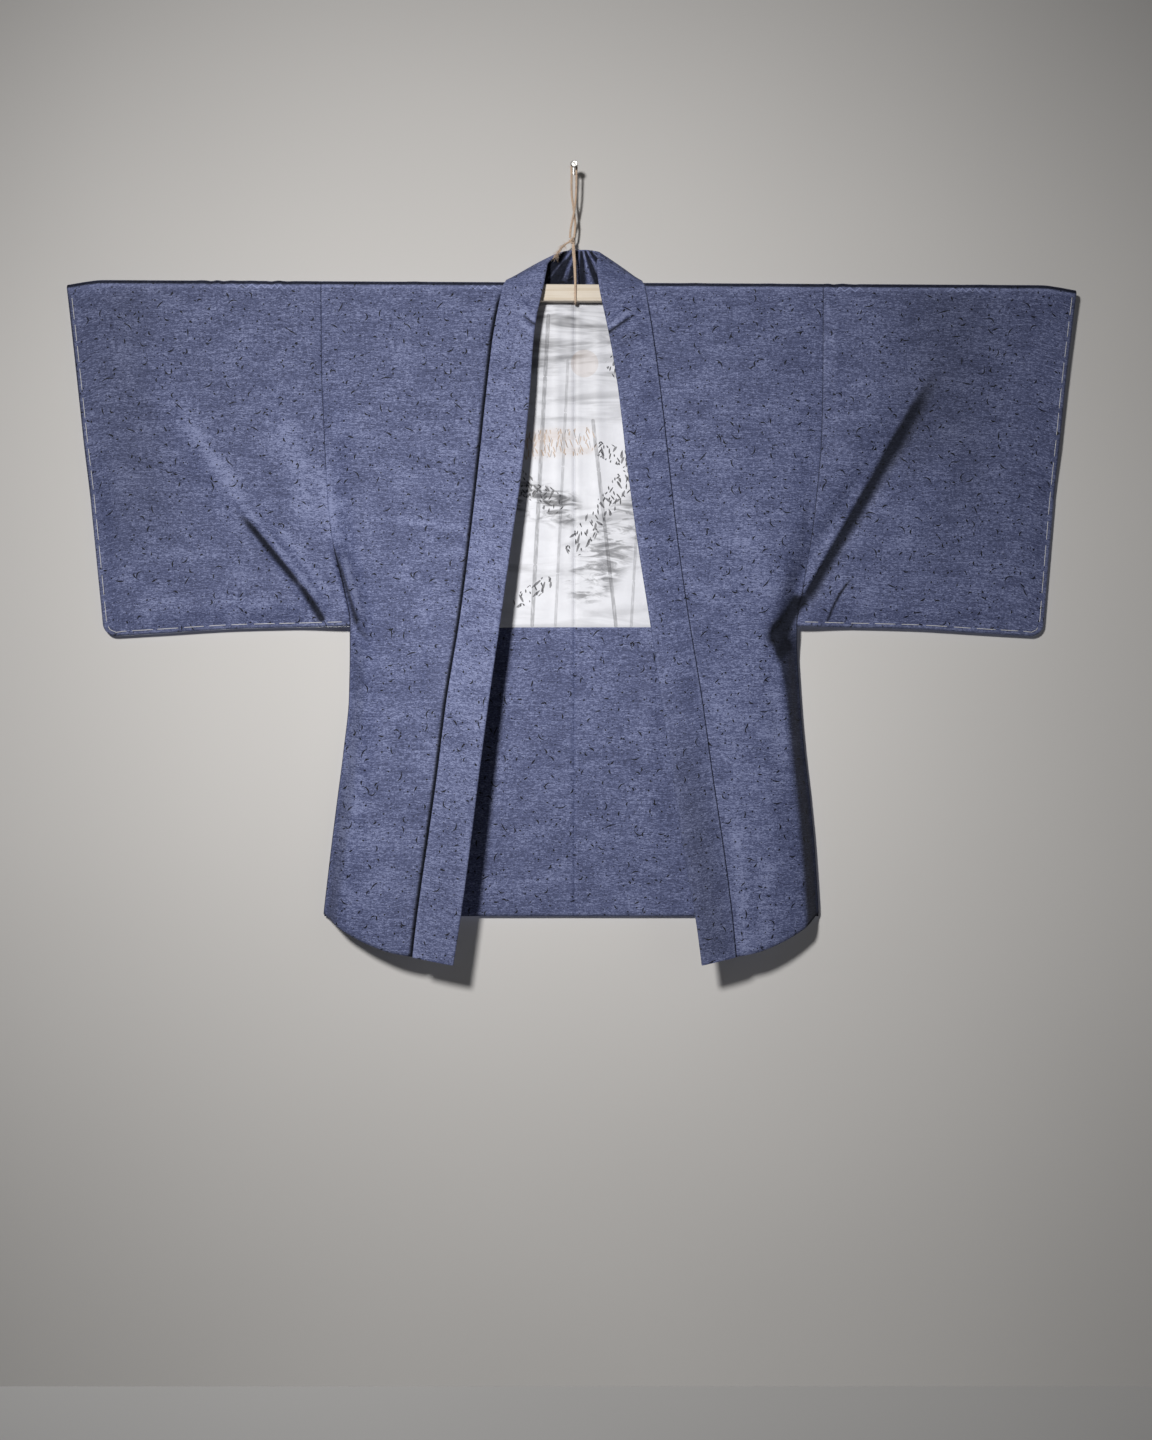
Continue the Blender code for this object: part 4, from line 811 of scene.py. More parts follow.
def run_down(ridge, z, out, back_rows):
    """Length along the cloth from the middle of the batten's top, down the front and, below 0, the back."""
    steps = np.hypot(np.diff(z, axis=1), np.diff(out, axis=1))
    run = np.hstack((np.zeros((len(z), 1)), np.cumsum(steps, axis=1)))
    return run - run[:, back_rows + ARCH_ROWS - 1][:, None]


def ends_finer(share, amount):
    """A share from 0 to 1 whose steps are finer at both ends."""
    return share - amount * np.sin(2.0 * math.pi * share) / (2.0 * math.pi)


def line_tone(distance, dark, start, width):
    """Tone of a thin dark line that follows an edge."""
    return -dark * (1.0 - ease((distance - start) / width))


def near_top(below):
    """1 on the cloth's ridge over the batten, falling evenly to 0 at TOP_REACH below it."""
    return np.clip(1.0 - below / TOP_REACH, 0.0, 1.0)


def side_shade(side, from_side, z):
    """How dark a front is at a distance from its side, where it turns back."""
    share, height = SIDE_SHADE_MORE
    above, start = SIDE_SHADE_START
    wide = SIDE_SHADE_WIDTH[side] * (1.0 + share * np.exp(-((UNDERARM_Z - z) / height) ** 2))
    shaded = SIDE_SHADE[side] * (1.0 - ease((from_side - wide) / SIDE_SHADE_SOFT))
    return shaded * ease((UNDERARM_Z + above - z) / start)


def worn_and_highlit(distance, run):
    """Wear, with a painted highlight, at a distance from a hem or cuff and at a length down from the ridge over the
    batten.
    """
    share, width = WORN_HIGHLIT_TOP
    return np.maximum(near_edge(distance, WORN_HIGHLIT_EDGE), share * near_edge(np.abs(run), width))


def body_sheet(side):
    """Points, flat coordinates, quads and looks of one side's back and front, cut in one length."""
    u = ends_finer(np.linspace(0.0, 1.0, PANEL_COLUMNS)[:, None], COLUMN_PACK)
    v = np.linspace(0.0, 1.0, UPPER_ROWS)[None]
    w = np.linspace(0.0, 1.0, LOWER_ROWS + 1)[None, 1:]
    ridge = crinkled_ridge(side * mix(NECK_X, SHOULDER_X, u))
    top = ridge - ARCH_RADIUS
    upper = mix(top, UNDERARM_Z, v)
    back_z = np.hstack((upper, mix(UNDERARM_Z, BACK_HEM_Z + 0 * u, w)))[:, ::-1]
    hem_z = curve(FRONT_HEM, "z", u, "u")
    front_z = np.hstack((upper, mix(UNDERARM_Z, hem_z, w)))
    back_x = mix(NECK_X, side_x(side, back_z) - SEAM_GAP / 2, u)
    front_x = mix(seam_x(side, front_z), side_x(side, front_z) - SEAM_GAP / 2, u)
    back = hung_back(side, back_x, back_z) + dip(side_x(side, back_z) - back_x)
    back = back + roll(back_z - BACK_HEM_Z)
    sunk, sunk_shade = beside_collar(side, front_x, front_z)
    front = hung_front(side, front_x, front_z) - dip(side_x(side, front_z) - front_x) - sunk
    front = front - roll(front_z - hem_z)
    over_out, over_z = over_batten(back[:, -1:], front[:, :1], ridge)
    over_x = np.repeat(back_x[:, -1:], over_z.shape[1], axis=1)
    x = np.hstack((back_x, over_x, front_x))
    out = np.hstack((back, over_out, front))
    z = np.hstack((back_z, over_z, front_z))
    from_side = side_x(side, front_z) - front_x
    # The tone is painted light: the folds' painted shade and highlights, painted shade in the groove beside the
    # collar, along the hem and where the front turns back at its side, and a dark line at the side seam.
    front_tone = painted_fold_light("front", side, front_x, front_z) + sunk_shade
    front_tone = front_tone + line_tone(front_z - hem_z, *HEM_LINE) - side_shade(side, from_side, front_z)
    front_tone = front_tone + line_tone(from_side, *SEAM_LINE)
    back_tone = painted_fold_light("back", side, back_x, back_z) + line_tone(back_z - BACK_HEM_Z, *HEM_LINE)
    back_tone = back_tone + line_tone(side_x(side, back_z) - back_x, *SEAM_LINE)
    tone = np.hstack((back_tone, 0 * over_z, front_tone))
    back_rows = back_z.shape[1]
    c = np.linspace(0.0, 1.0, CENTRE_COLUMNS + 1)[:-1, None]
    centre_top = ridge_z(side * NECK_X) - ARCH_RADIUS
    centre_z = np.hstack((mix(centre_top, UNDERARM_Z, v), mix(UNDERARM_Z, BACK_HEM_Z, w)))[:, ::-1] + 0 * c
    centre_x = mix(CENTRE_GAP / 2, NECK_X, c) + 0 * centre_z
    centre = hung_back(side, centre_x, centre_z) + roll(centre_z - BACK_HEM_Z) + dip(centre_x)
    spare = np.zeros((len(c), x.shape[1] - back_rows))
    x = np.vstack((np.hstack((centre_x, spare)), x))
    out = np.vstack((np.hstack((centre, spare)), out))
    z = np.vstack((np.hstack((centre_z, spare)), z))
    tone = np.vstack((np.hstack((line_tone(centre_x - CENTRE_GAP / 2, *SEAM_LINE), spare)), tone))
    run = run_down(ridge, z[CENTRE_COLUMNS:], out[CENTRE_COLUMNS:], back_rows)
    run = np.vstack((np.repeat(run[:1], CENTRE_COLUMNS, axis=0), run))
    faces = grid_faces(len(x), x.shape[1])
    keep = np.ones(faces.shape[:2], dtype=bool)
    keep[:CENTRE_COLUMNS, back_rows - 1:] = False
    faces = faces[keep]
    if side > 0:
        faces = faces[:, ::-1]
    points = np.stack((side * x, -out, z), axis=-1).reshape(-1, 3)
    flat = np.stack((side * x, run), axis=-1).reshape(-1, 2)
    hem = np.where(np.arange(z.shape[1])[None] < back_rows, z - BACK_HEM_Z, z - np.min(z, axis=1)[:, None])
    below = np.vstack((np.repeat(ridge[:1], CENTRE_COLUMNS, axis=0), ridge)) - z
    return points, flat, faces, {"edge": worn_and_highlit(hem, run), "tone": np.clip(tone, -1.0, 1.0), "top": near_top(below)}


def corner_round(side, x, z, u):
    """Move points of the sleeve's lower outer corner on to its rounded edge."""
    in_x = CUFF_CORNER - (cuff_x(side, z) - x)
    in_z = CUFF_CORNER - (z - curve(SLEEVE_BOTTOM, "z", u, "u"))
    inside = np.minimum(in_x, in_z) > 0.0
    shrink = np.where(inside, np.maximum(in_x, in_z) / np.maximum(np.hypot(in_x, in_z), 1e-9), 1.0)
    return x - in_x * (1.0 - shrink), z + in_z * (1.0 - shrink)


def sleeve_sheet(side):
    """Points, flat coordinates, quads and looks of one sleeve, a length folded over the batten."""
    u = np.linspace(0.0, 1.0, SLEEVE_COLUMNS)[:, None] ** SLEEVE_PACK[0]
    v = 1.0 - (1.0 - np.linspace(0.0, 1.0, UPPER_ROWS)[None]) ** SLEEVE_PACK[1]
    ridge = crinkled_ridge(side * mix(SHOULDER_X, WRIST_X, u))
    bottom = curve(SLEEVE_BOTTOM, "z", u, "u")
    z = mix(ridge - ARCH_RADIUS, bottom, v)
    x = mix(side_x(side, z) + SEAM_GAP / 2, cuff_x(side, z), u)
    seam = dip(x - side_x(side, z))
    sewn = line_tone(x - side_x(side, z), *SEAM_LINE)
    rim = np.minimum(cuff_x(side, z) - x, z - bottom)
    x, z = corner_round(side, x, z, u)
    shut = closed_edge(side, x, z, u)
    back = mix(hung_back(side, x, z), EDGE_OUT - EDGE_HALF, shut) + seam
    front = mix(hung_front(side, x, z), EDGE_OUT + EDGE_HALF, shut) - seam
    over_out, over_z = over_batten(back[:, :1], front[:, :1], ridge)
    over_x = np.repeat(x[:, :1], over_z.shape[1], axis=1)
    all_x = np.hstack((x[:, ::-1], over_x, x))
    all_out = np.hstack((back[:, ::-1], over_out, front))
    all_z = np.hstack((z[:, ::-1], over_z, z))
    rows = all_x.shape[1]
    run = run_down(ridge, all_z, all_out, UPPER_ROWS)
    faces = grid_faces(SLEEVE_COLUMNS, rows).reshape(-1, 4)
    c = np.arange(SLEEVE_COLUMNS - 1)
    under = np.stack((c * rows + rows - 1, (c + 1) * rows + rows - 1, (c + 1) * rows, c * rows), axis=-1)
    last = (SLEEVE_COLUMNS - 1) * rows
    r = np.flatnonzero(z[-1, :0:-1] <= CUFF_OPEN_Z)
    cuff = np.stack((last + rows - 1 - r, last + rows - 2 - r, last + r + 1, last + r), axis=-1)
    faces = np.vstack((faces, under, cuff))
    if side > 0:
        faces = faces[:, ::-1]
    points = np.stack((side * all_x, -all_out, all_z), axis=-1).reshape(-1, 3)
    flat = np.stack((side * all_x + SLEEVE_FLAT_X, run), axis=-1).reshape(-1, 2)
    over_rim = np.full(over_z.shape, 1.0)
    all_rim = np.hstack((rim[:, ::-1], over_rim, rim))
    back_tone = painted_fold_light("back", side, x, z) + sewn
    tone = np.hstack((back_tone[:, ::-1], 0.0 * over_z, painted_fold_light("front", side, x, z) + sewn))
    tone = np.clip(tone + line_tone(all_rim, *HEM_LINE), -1.0, 1.0)
    return points, flat, faces, {"edge": worn_and_highlit(all_rim, run), "tone": tone, "top": near_top(ridge - all_z)}


def gusset_sheet(side):
    """Points, flat coordinates, quads and looks of the strip between front and back, folded inwards."""
    s = np.linspace(0.0, 1.0, GUSSET_COLUMNS)[:, None]
    w = np.linspace(*GUSSET_ENDS, GUSSET_LEVELS)[None]
    z = mix(UNDERARM_Z, curve(FRONT_HEM, "z", 1.0, "u"), w) + 0 * s
    seam = side_x(side, z)
    front = front_out(side, seam, z) - GUSSET_FRONT - side_roll(side, seam, z)
    back = back_out(side, seam, z) + GUSSET_BACK
    width, phase = GUSSET_WAVE
    depth = curve(GUSSET_FOLD, "depth", w, "w") + FREE_RIPPLE["gusset"] * ripple(s * width, z, phase)
    bend = 1.0 - (2.0 * s - 1.0) ** 2
    inward = GUSSET_INSET + depth * bend
    points = np.stack((side * (seam - inward), -mix(front, back, s), z), axis=-1)
    faces = grid_faces(GUSSET_COLUMNS, GUSSET_LEVELS).reshape(-1, 4)
    if side > 0:
        faces = faces[:, ::-1]
    flat = np.stack((s * GUSSET_FLAT_WIDTH + GUSSET_FLAT_X + 0 * z, z), axis=-1)
    looks = {"edge": near_edge(z - z[:, -1:], WORN_HIGHLIT_EDGE), "tone": -GUSSET_SHADE * bend + 0 * z}
    return points.reshape(-1, 3), flat.reshape(-1, 2), faces, looks


def cover_sheet(side, top, bottom):
    """Points, flat coordinates, quads and looks of a layer on the inside of a back panel."""
    lift = CLOTH / 2 + SEAM_GAP + LINING / 2
    s = np.linspace(0.0, 1.0, COVER_COLUMNS)[:, None]
    z = np.linspace(top, bottom, COVER_ROWS)[None] + 0 * s
    x = mix(CENTRE_GAP, side_x(side, z) - GUSSET_INSET, s)
    fold = np.maximum(lines_push(CREASES, "lining", side, x, z), LINING_SINK)
    fold = fold + FREE_RIPPLE["lining"] * (ripple(x, z, 6.0 - side) + 1.0)
    start_across, start_down = COVER_STARTS
    fold = fold * ease((x - CENTRE_GAP) / start_across) * ease((top - z) / start_down)
    out = back_out(side, x, z) + lift + fold
    points = np.stack((side * x, -out, z), axis=-1).reshape(-1, 3)
    faces = grid_faces(COVER_COLUMNS, COVER_ROWS).reshape(-1, 4)
    if side > 0:
        faces = faces[:, ::-1]
    flat = np.stack((side * x, z), axis=-1).reshape(-1, 2)
    edge = np.maximum(near_edge(z - bottom, WORN_LINING), near_edge(z - top, WORN_LINING))
    return points, flat, faces, {"edge": edge, "tone": line_tone(z - bottom, *HEM_LINE)}


def front_station(side, z):
    """One section of the collar on the front: fold, seam, facing, lap and the seam end's place."""
    fold = Vector((side * float(fold_x(side, z)), -float(curve(COLLAR_RUN, "fold_out", z)), z))
    seam_z = min(z + COLLAR_LIFT, ridge_z(side * NECK_X) - ARCH_RADIUS)
    x = float(seam_x(side, seam_z))
    seam = Vector((side * (x - SEAM_GAP), -float(front_out(side, x, seam_z)), seam_z))
    return fold, seam, Vector((0.0, -1.0, 0.0)), COLLAR_LAP


def neck_station(row):
    """One section of the collar round the neck."""
    ridge = float(ridge_z(row["gx"]))
    return (Vector((row["fx"], -row["fo"], row["fz"])), Vector((row["gx"], -row["go"], ridge - row["dip"])),
            Vector((row["nx"], -row["no"], row["nz"])), row["lap"])


def between(stations, index, t):
    """A collar section between two stations, on a smooth line through their neighbours."""
    near = neighbours(stations, index)
    parts = [smooth_step([row[k] for row in near], t) for k in range(3)]
    return (*parts, mix(near[1][3], near[2][3], t))


def pleat_push(place):
    """How far the pleats of the collar's inner half stand off round the neck."""
    return sum(row["depth"] * math.exp(-((place - row["x"]) / row["width"]) ** 2) for row in NECK_PLEATS)


def painted_neck_shade(x, neck, pleat):
    """Painted shade of the collar's inner half: dark round the neck, darkest towards the left, where the collar's
    shadow falls, and in the pleats' hollows.
    """
    start, width = NECK_LEFT
    shade = NECK_SHADE + (NECK_SHADE_LEFT - NECK_SHADE) * (1.0 - ease((x - start) / width))
    return -neck * (shade - NECK_PLEAT_TONE * pleat)


def collar_section(fold, seam, facing, lap, neck):
    """Middle of the collar's wall across one section, from its seam round the fold to its free edge.

    neck is 1 round the neck and 0 down the fronts. Gives the points and the way each may be pushed.
    """
    out = seam - fold
    width = out.length
    out.normalize()
    up = (facing - out * facing.dot(out)).normalized()
    bend = COLLAR_FOLD
    first, last = PLEAT_ENDS
    points = []
    ways = []
    for share in np.linspace(1.0, 0.0, COLLAR_INNER):
        pleat = neck * pleat_push(seam.x) * float(ease(share / first) * ease((1.0 - share) / last))
        points.append(fold + out * mix(bend, width, share) + up * pleat)
        ways.append(Vector())
    for turn in np.radians(np.linspace(0.0, 180.0, COLLAR_BEND + 2)[1:-1]):
        points.append(fold + out * (bend - bend * math.sin(turn)) + up * (bend - bend * math.cos(turn)))
        ways.append(Vector())
    for share in np.linspace(0.0, 1.0, COLLAR_OUTER):
        place = mix(bend, width + lap, share)
        bulge = COLLAR_BULGE * math.sin(math.pi * place / (width + lap))
        points.append(fold + out * place + up * (2.0 * bend + bulge))
        ways.append(up * float(ease(share / COLLAR_LOOSE)))
    return points, ways


def collar_sheet():
    """Points, flat coordinates, quads and looks of the band from hem to hem round the neck."""
    stations = [front_station(-1, z) for z in reversed(COLLAR_Z)]
    stations += [neck_station(row) for row in NECK_RUN]
    stations += [front_station(1, z) for z in COLLAR_Z]
    fronts = len(COLLAR_Z)
    sections = []
    pleats = []
    for index in range(len(stations) - 1):
        length = (stations[index + 1][0] - stations[index][0]).length
        length = max(length, (stations[index + 1][1] - stations[index][1]).length)
        fine = COLLAR_FINE if stations[index][0].z > CREASED_Z else 1.0
        count = max(1, round(length / (COLLAR_STEP * fine)))
        for step in range(count):
            along = index + step / count
            neck = float(ease((along - fronts + 1) / 2.0) * ease((fronts + len(NECK_RUN) - along) / 2.0))
            station = between(stations, index, step / count)
            sections.append(collar_section(*station, neck))
            pleats.append((neck, pleat_push(station[1].x)))
    sections.append(collar_section(*stations[-1], 0.0))
    neck, pleat = np.array([*pleats, (0.0, 0.0)]).T[:, :, None]
    points = np.array([[tuple(point) for point in section[0]] for section in sections])
    ways = np.array([[tuple(way) for way in section[1]] for section in sections])
    x, z = points[..., 0], points[..., 2]
    push = np.where(x < 0, lines_push(CREASES, "collar", -1, -x, z), lines_push(CREASES, "collar", 1, x, z))
    points = points + ways * (push + FREE_RIPPLE["collar"] * (ripple(x, z, 2.0) + 1.0))[..., None]
    along = np.cumsum(np.r_[0.0, np.linalg.norm(np.diff(points[:, COLLAR_INNER], axis=0), axis=1)])
    section = points[len(points) // 4]
    girth = np.r_[0.0, np.cumsum(np.linalg.norm(np.diff(section, axis=0), axis=1))]
    flat = np.stack(np.broadcast_arrays(girth[None] + COLLAR_FLAT_X, along[:, None]), axis=-1)
    turn = np.abs(girth - girth[COLLAR_INNER + COLLAR_BEND // 2])
    edge = np.maximum(near_edge(turn, WORN_HIGHLIT_EDGE), near_edge(girth[-1] - girth, WORN_HIGHLIT_COLLAR))
    edge = np.broadcast_to(edge[None], points.shape[:2])
    # Painted light: the folds' painted shade and highlights, the halves' painted light and the painted shade inside
    # the neck.
    tone = np.where(x < 0, painted_fold_light("collar", -1, -x, z), painted_fold_light("collar", 1, x, z))
    tone = tone + np.where(x < 0, COLLAR_PAINTED_LIGHT[-1], COLLAR_PAINTED_LIGHT[1])
    tone = np.where(np.arange(len(girth))[None] < COLLAR_INNER, painted_neck_shade(x, neck, pleat), tone)
    faces = grid_faces(*points.shape[:2]).reshape(-1, 4)[:, ::-1]
    looks = {"edge": edge, "tone": np.clip(tone, -1.0, 1.0)}
    return points.reshape(-1, 3), flat.reshape(-1, 2), faces, looks


# ---------------------------------------------------------------- finishes
def join(node, key, value):
    """Set a node's input to a value, or join it to another node's output."""
    if isinstance(value, bpy.types.NodeSocket):
        node.id_data.links.new(value, node.inputs[key])
    else:
        node.inputs[key].default_value = value


def add_node(tree, kind, inputs=None, **settings):
    """A node with its settings, and its inputs set to values or joined to other nodes' outputs."""
    node = tree.nodes.new(kind)
    for key, value in settings.items():
        setattr(node, key, value)
    for key, value in (inputs or {}).items():
        join(node, key, value)
    return node


def tree_of(*values):
    """The node tree of the first output among some values."""
    return next(value.id_data for value in values if isinstance(value, bpy.types.NodeSocket))


def calc(operation, *values):
    """The output of a Math node."""
    return add_node(tree_of(*values), "ShaderNodeMath", dict(enumerate(values)), operation=operation).outputs[0]


def times(*values):
    """The product of some values."""
    return reduce(lambda first, second: calc("MULTIPLY", first, second), values)


def highest(values):
    """The largest of some values."""
    return reduce(lambda first, second: calc("MAXIMUM", first, second), values)


def vector_calc(operation, *values, output=0):
    """An output of a Vector Math node."""
    node = add_node(tree_of(*values), "ShaderNodeVectorMath", dict(enumerate(values)), operation=operation)
    return node.outputs[output]


def scaled(vector, scale):
    """A vector times a value."""
    return add_node(tree_of(vector), "ShaderNodeVectorMath", {0: vector, 3: scale}, operation="SCALE").outputs[0]


def axes_of(vector):
    """A vector's X, Y and Z."""
    return add_node(tree_of(vector), "ShaderNodeSeparateXYZ", {"Vector": vector}).outputs


def soft_range(value, low, high, to_low=0.0, to_high=1.0):
    """A smooth change from to_low at low to to_high at high."""
    sockets = {"Value": value, "From Min": low, "From Max": high, "To Min": to_low, "To Max": to_high}
    return add_node(tree_of(value), "ShaderNodeMapRange", sockets, interpolation_type="SMOOTHSTEP").outputs["Result"]


def blend(share, first, second):
    """The output of a colour mix."""
    node = add_node(tree_of(share, first, second), "ShaderNodeMix", {0: share}, data_type="RGBA", blend_type="MIX")
    for key, value in ((6, first), (7, second)):
        join(node, key, value if isinstance(value, bpy.types.NodeSocket) else (*value, 1.0))
    return node.outputs[2]


def noise(vector, stretch, detail=2.0, roughness=0.5, distortion=0.0):
    """A noise pattern's value at a vector stretched by its own scale along each way."""
    place = vector_calc("MULTIPLY", vector, stretch)
    sockets = {"Vector": place, "Scale": 1.0, "Detail": detail, "Roughness": roughness, "Distortion": distortion}
    return add_node(tree_of(vector), "ShaderNodeTexNoise", sockets).outputs["Fac"]


def look(tree, name):
    """One of a sheet's point attributes."""
    return add_node(tree, "ShaderNodeAttribute", attribute_name=name).outputs["Fac"]


def object_place(tree):
    """Place on the piece, in metres."""
    return add_node(tree, "ShaderNodeTexCoord").outputs["Object"]


def flat_coordinates(tree):
    """A cloth's flat coordinates in metres."""
    return add_node(tree, "ShaderNodeUVMap", uv_map="flat").outputs["UV"]


def new_group(name, inputs):
    """An empty node group whose inputs are Vector and some values or vectors; gives its input sockets."""
    tree = bpy.data.node_groups.new(name, "ShaderNodeTree")
    for key, default in {"Vector": (0.0, 0.0, 0.0), **inputs}.items():
        kind = "NodeSocketVector" if isinstance(default, tuple) else "NodeSocketFloat"
        socket = tree.interface.new_socket(name=key, in_out="INPUT", socket_type=kind)
        socket.default_value = default
    return tree, tree.nodes.new("NodeGroupInput").outputs


def close_group(tree, **outputs):
    """Give a group its output values."""
    for key in outputs:
        tree.interface.new_socket(name=key, in_out="OUTPUT", socket_type="NodeSocketFloat")
    add_node(tree, "NodeGroupOutput", outputs)


def use_group(name, vector, **inputs):
    """The outputs of a group placed in a vector's tree."""
    tree = tree_of(vector)
    node = tree.nodes.new("ShaderNodeGroup")
    node.node_tree = bpy.data.node_groups[name]
    join(node, "Vector", vector)
    for key, value in inputs.items():
        join(node, key.replace("_", " "), value)
    return node.outputs


# Layers of the woven yarns: their fineness along and across the weft, and the share of each in the tone.
YARN_LAYERS = table(
    "name along across detail roughness distortion share",
    ("yarn", 185.0, 600.0, 3.0, 0.62, 0.5, 0.40), ("thread", 430.0, 1150.0, 1.0, 0.5, 0.0, 0.26),
    ("slub", 34.0, 260.0, 2.0, 0.55, 0.3, 0.14), ("warp", 900.0, 60.0, 1.0, 0.5, 0.0, 0.06),
    ("mottle", 19.0, 30.0, 3.0, 0.6, 0.0, 0.14))
SLUB_HEIGHT = 0.5
WARP_HEIGHT = 0.3


def make_yarn_group():
    """Uneven weft yarns that run along X: their tone and their height."""
    tree, given = new_group("woven_yarns", {})
    layers = {}
    tone = 0.0
    for row in YARN_LAYERS:
        stretch = (row["along"], row["across"], 1.0)
        layer = noise(given["Vector"], stretch, row["detail"], row["roughness"], row["distortion"])
        tone = calc("MULTIPLY_ADD", layer, row["share"], tone)
        layers[row["name"]] = layer
    height = calc("MULTIPLY_ADD", layers["warp"], WARP_HEIGHT, layers["yarn"])
    close_group(tree, Tone=tone, Height=calc("MULTIPLY_ADD", layers["slub"], SLUB_HEIGHT, height))


def make_stroke_group():
    """Short bent strokes scattered over XY, each with its own turn, bend and length."""
    inputs = {"Spacing": 0.02, "Share": 0.3, "Length": 0.006, "Width": 0.0006, "Bend": 40.0, "Turn from": 0.0,
              "Turn to": 6.2832}
    tree, given = new_group("scattered_strokes", inputs)
    place = scaled(given["Vector"], calc("DIVIDE", 1.0, given["Spacing"]))
    cells = add_node(tree, "ShaderNodeTexVoronoi", {"Vector": place, "Scale": 1.0, "Randomness": 1.0},
                     voronoi_dimensions="2D", feature="F1").outputs
    chance = add_node(tree, "ShaderNodeSeparateColor", {"Color": cells["Color"]}).outputs
    other = add_node(tree, "ShaderNodeTexWhiteNoise", {"Vector": cells["Position"]},
                     noise_dimensions="2D").outputs["Value"]
    turn = add_node(tree, "ShaderNodeMapRange", {"Value": chance["Red"], "To Min": given["Turn from"],
                                                 "To Max": given["Turn to"]}).outputs["Result"]
    local = scaled(vector_calc("SUBTRACT", place, cells["Position"]), given["Spacing"])
    axes = axes_of(add_node(tree, "ShaderNodeVectorRotate", {"Vector": local, "Angle": turn},
                            rotation_type="Z_AXIS").outputs[0])
    bend = times(calc("SUBTRACT", chance["Green"], 0.5), given["Bend"])
    off = calc("ABSOLUTE", calc("SUBTRACT", axes["Y"], times(axes["X"], axes["X"], bend)))
    half = times(given["Length"], calc("MULTIPLY_ADD", other, 0.7, 0.3))
    along = calc("DIVIDE", calc("ABSOLUTE", axes["X"]), half)
    taper = calc("SQRT", calc("MAXIMUM", calc("SUBTRACT", 1.0, along), 0.0))
    width = calc("MAXIMUM", times(given["Width"], taper), 0.00001)
    mask = soft_range(calc("SUBTRACT", 1.0, calc("DIVIDE", off, width)), 0.0, 0.35)
    close_group(tree, Mask=times(mask, calc("LESS_THAN", chance["Blue"], given["Share"])))


def make_line_group():
    """One straight brush stroke from Start to End."""
    inputs = {"Start": (0.0, 0.0, 0.0), "End": (0.0, 1.0, 0.0), "Width": 0.004, "Core": 0.75}
    tree, given = new_group("brush_line", inputs)
    reach = vector_calc("SUBTRACT", given["End"], given["Start"])
    local = vector_calc("SUBTRACT", given["Vector"], given["Start"])
    share = calc("DIVIDE", vector_calc("DOT_PRODUCT", local, reach, output=1),
                 vector_calc("DOT_PRODUCT", reach, reach, output=1))
    share = add_node(tree, "ShaderNodeClamp", {"Value": share}).outputs[0]
    off = vector_calc("LENGTH", vector_calc("SUBTRACT", local, scaled(reach, share)), output=1)
    close_group(tree, Mask=soft_range(calc("DIVIDE", off, given["Width"]), 1.0, given["Core"]))


def make_wear_and_highlight_group():
    """Broken patches along an edge: rubbed wear, and on the shell cloth a painted highlight as well."""
    tree, given = new_group("wear_and_highlight_patches", {"Edge": 0.0, "Grain": 300.0})
    place = scaled(given["Vector"], given["Grain"])
    patches = add_node(tree, "ShaderNodeTexNoise", {"Vector": place, "Scale": 1.0, "Detail": 3.0}).outputs["Fac"]
    close_group(tree, Mask=times(given["Edge"], soft_range(patches, 0.35, 0.65)))


def new_finish(name, roughness, **settings):
    """A Principled material with constants on its shader's own sockets; gives material and tree."""
    material = bpy.data.materials.new(name)
    material.use_nodes = True
    for key, value in {"Roughness": roughness, **settings}.items():
        material.node_tree.nodes["Principled BSDF"].inputs[key.replace("_", " ")].default_value = value
    return material, material.node_tree


def dress(material, color, rough=None, height=None, distance=0.0, strength=0.5):
    """Join a finish's colour, roughness and height pattern to its shader; gives the material."""
    shader = material.node_tree.nodes["Principled BSDF"]
    join(shader, "Base Color", color)
    if rough is not None:
        join(shader, "Roughness", rough)
    if height is not None:
        sockets = {"Height": height, "Distance": distance, "Strength": strength}
        join(shader, "Normal", add_node(material.node_tree, "ShaderNodeBump", sockets).outputs["Normal"])
    return material


# Black flecks of the shell cloth: long bent ones, short ones and dots.
FLECKS = table(
    "spacing share length width bend strength shift",
    (0.0330, 0.50, 0.0080, 0.00108, 270.0, 1.00, 0.00), (0.0210, 0.46, 0.0044, 0.00135, 400.0, 1.00, 3.17),
    (0.0125, 0.36, 0.0018, 0.00140, 0.0, 1.00, 5.41), (0.0072, 0.36, 0.0010, 0.00085, 0.0, 0.95, 7.93))

# Painted light on the cloth pressed over the batten, by the height below its ridge: a painted shade line along each
# edge and a painted highlight strip with zigzag highlights of crinkles.
HIGHLIGHT_STRIP = 0.0072          # where the painted highlight strip lies
HIGHLIGHT_STRIP_REACH = 0.0036    # how far that pale strip fades out above and below
HIGHLIGHT_STRIP_SHARE = 0.14
ZIGZAGS = ((-0.412, 0.055), (0.362, 0.030), (-0.120, 0.030), (0.520, 0.040))     # x and reach of its painted zigzag highlights
ZIGZAG_FADE = 0.4         # they are whole within this share of their reach
ZIGZAG_HALF = 0.0052      # half the length of one
ZIGZAG_SLOPE = 0.90
ZIGZAG_DEPTH = 0.0021     # from its middle to its peak
ZIGZAG_WIDTHS = (0.0013, 0.0003)      # of its line, whole and at its core
ZIGZAG_SHARE = 0.50
ZIGZAG_SWAY = (95.0, 0.003)       # how often and how far they crowd together
TOP_LINE_START = (0.0006, 0.0014)     # the painted shade line along each edge grows between these heights
TOP_LINE_END = (0.0056, 0.0036)   # and is gone at the first of these
TOP_LINE_SHARE = 0.88
HIGHLIGHT_LIGHTNESS = 1.7           # the pale strip is this many times as light as the light yarn


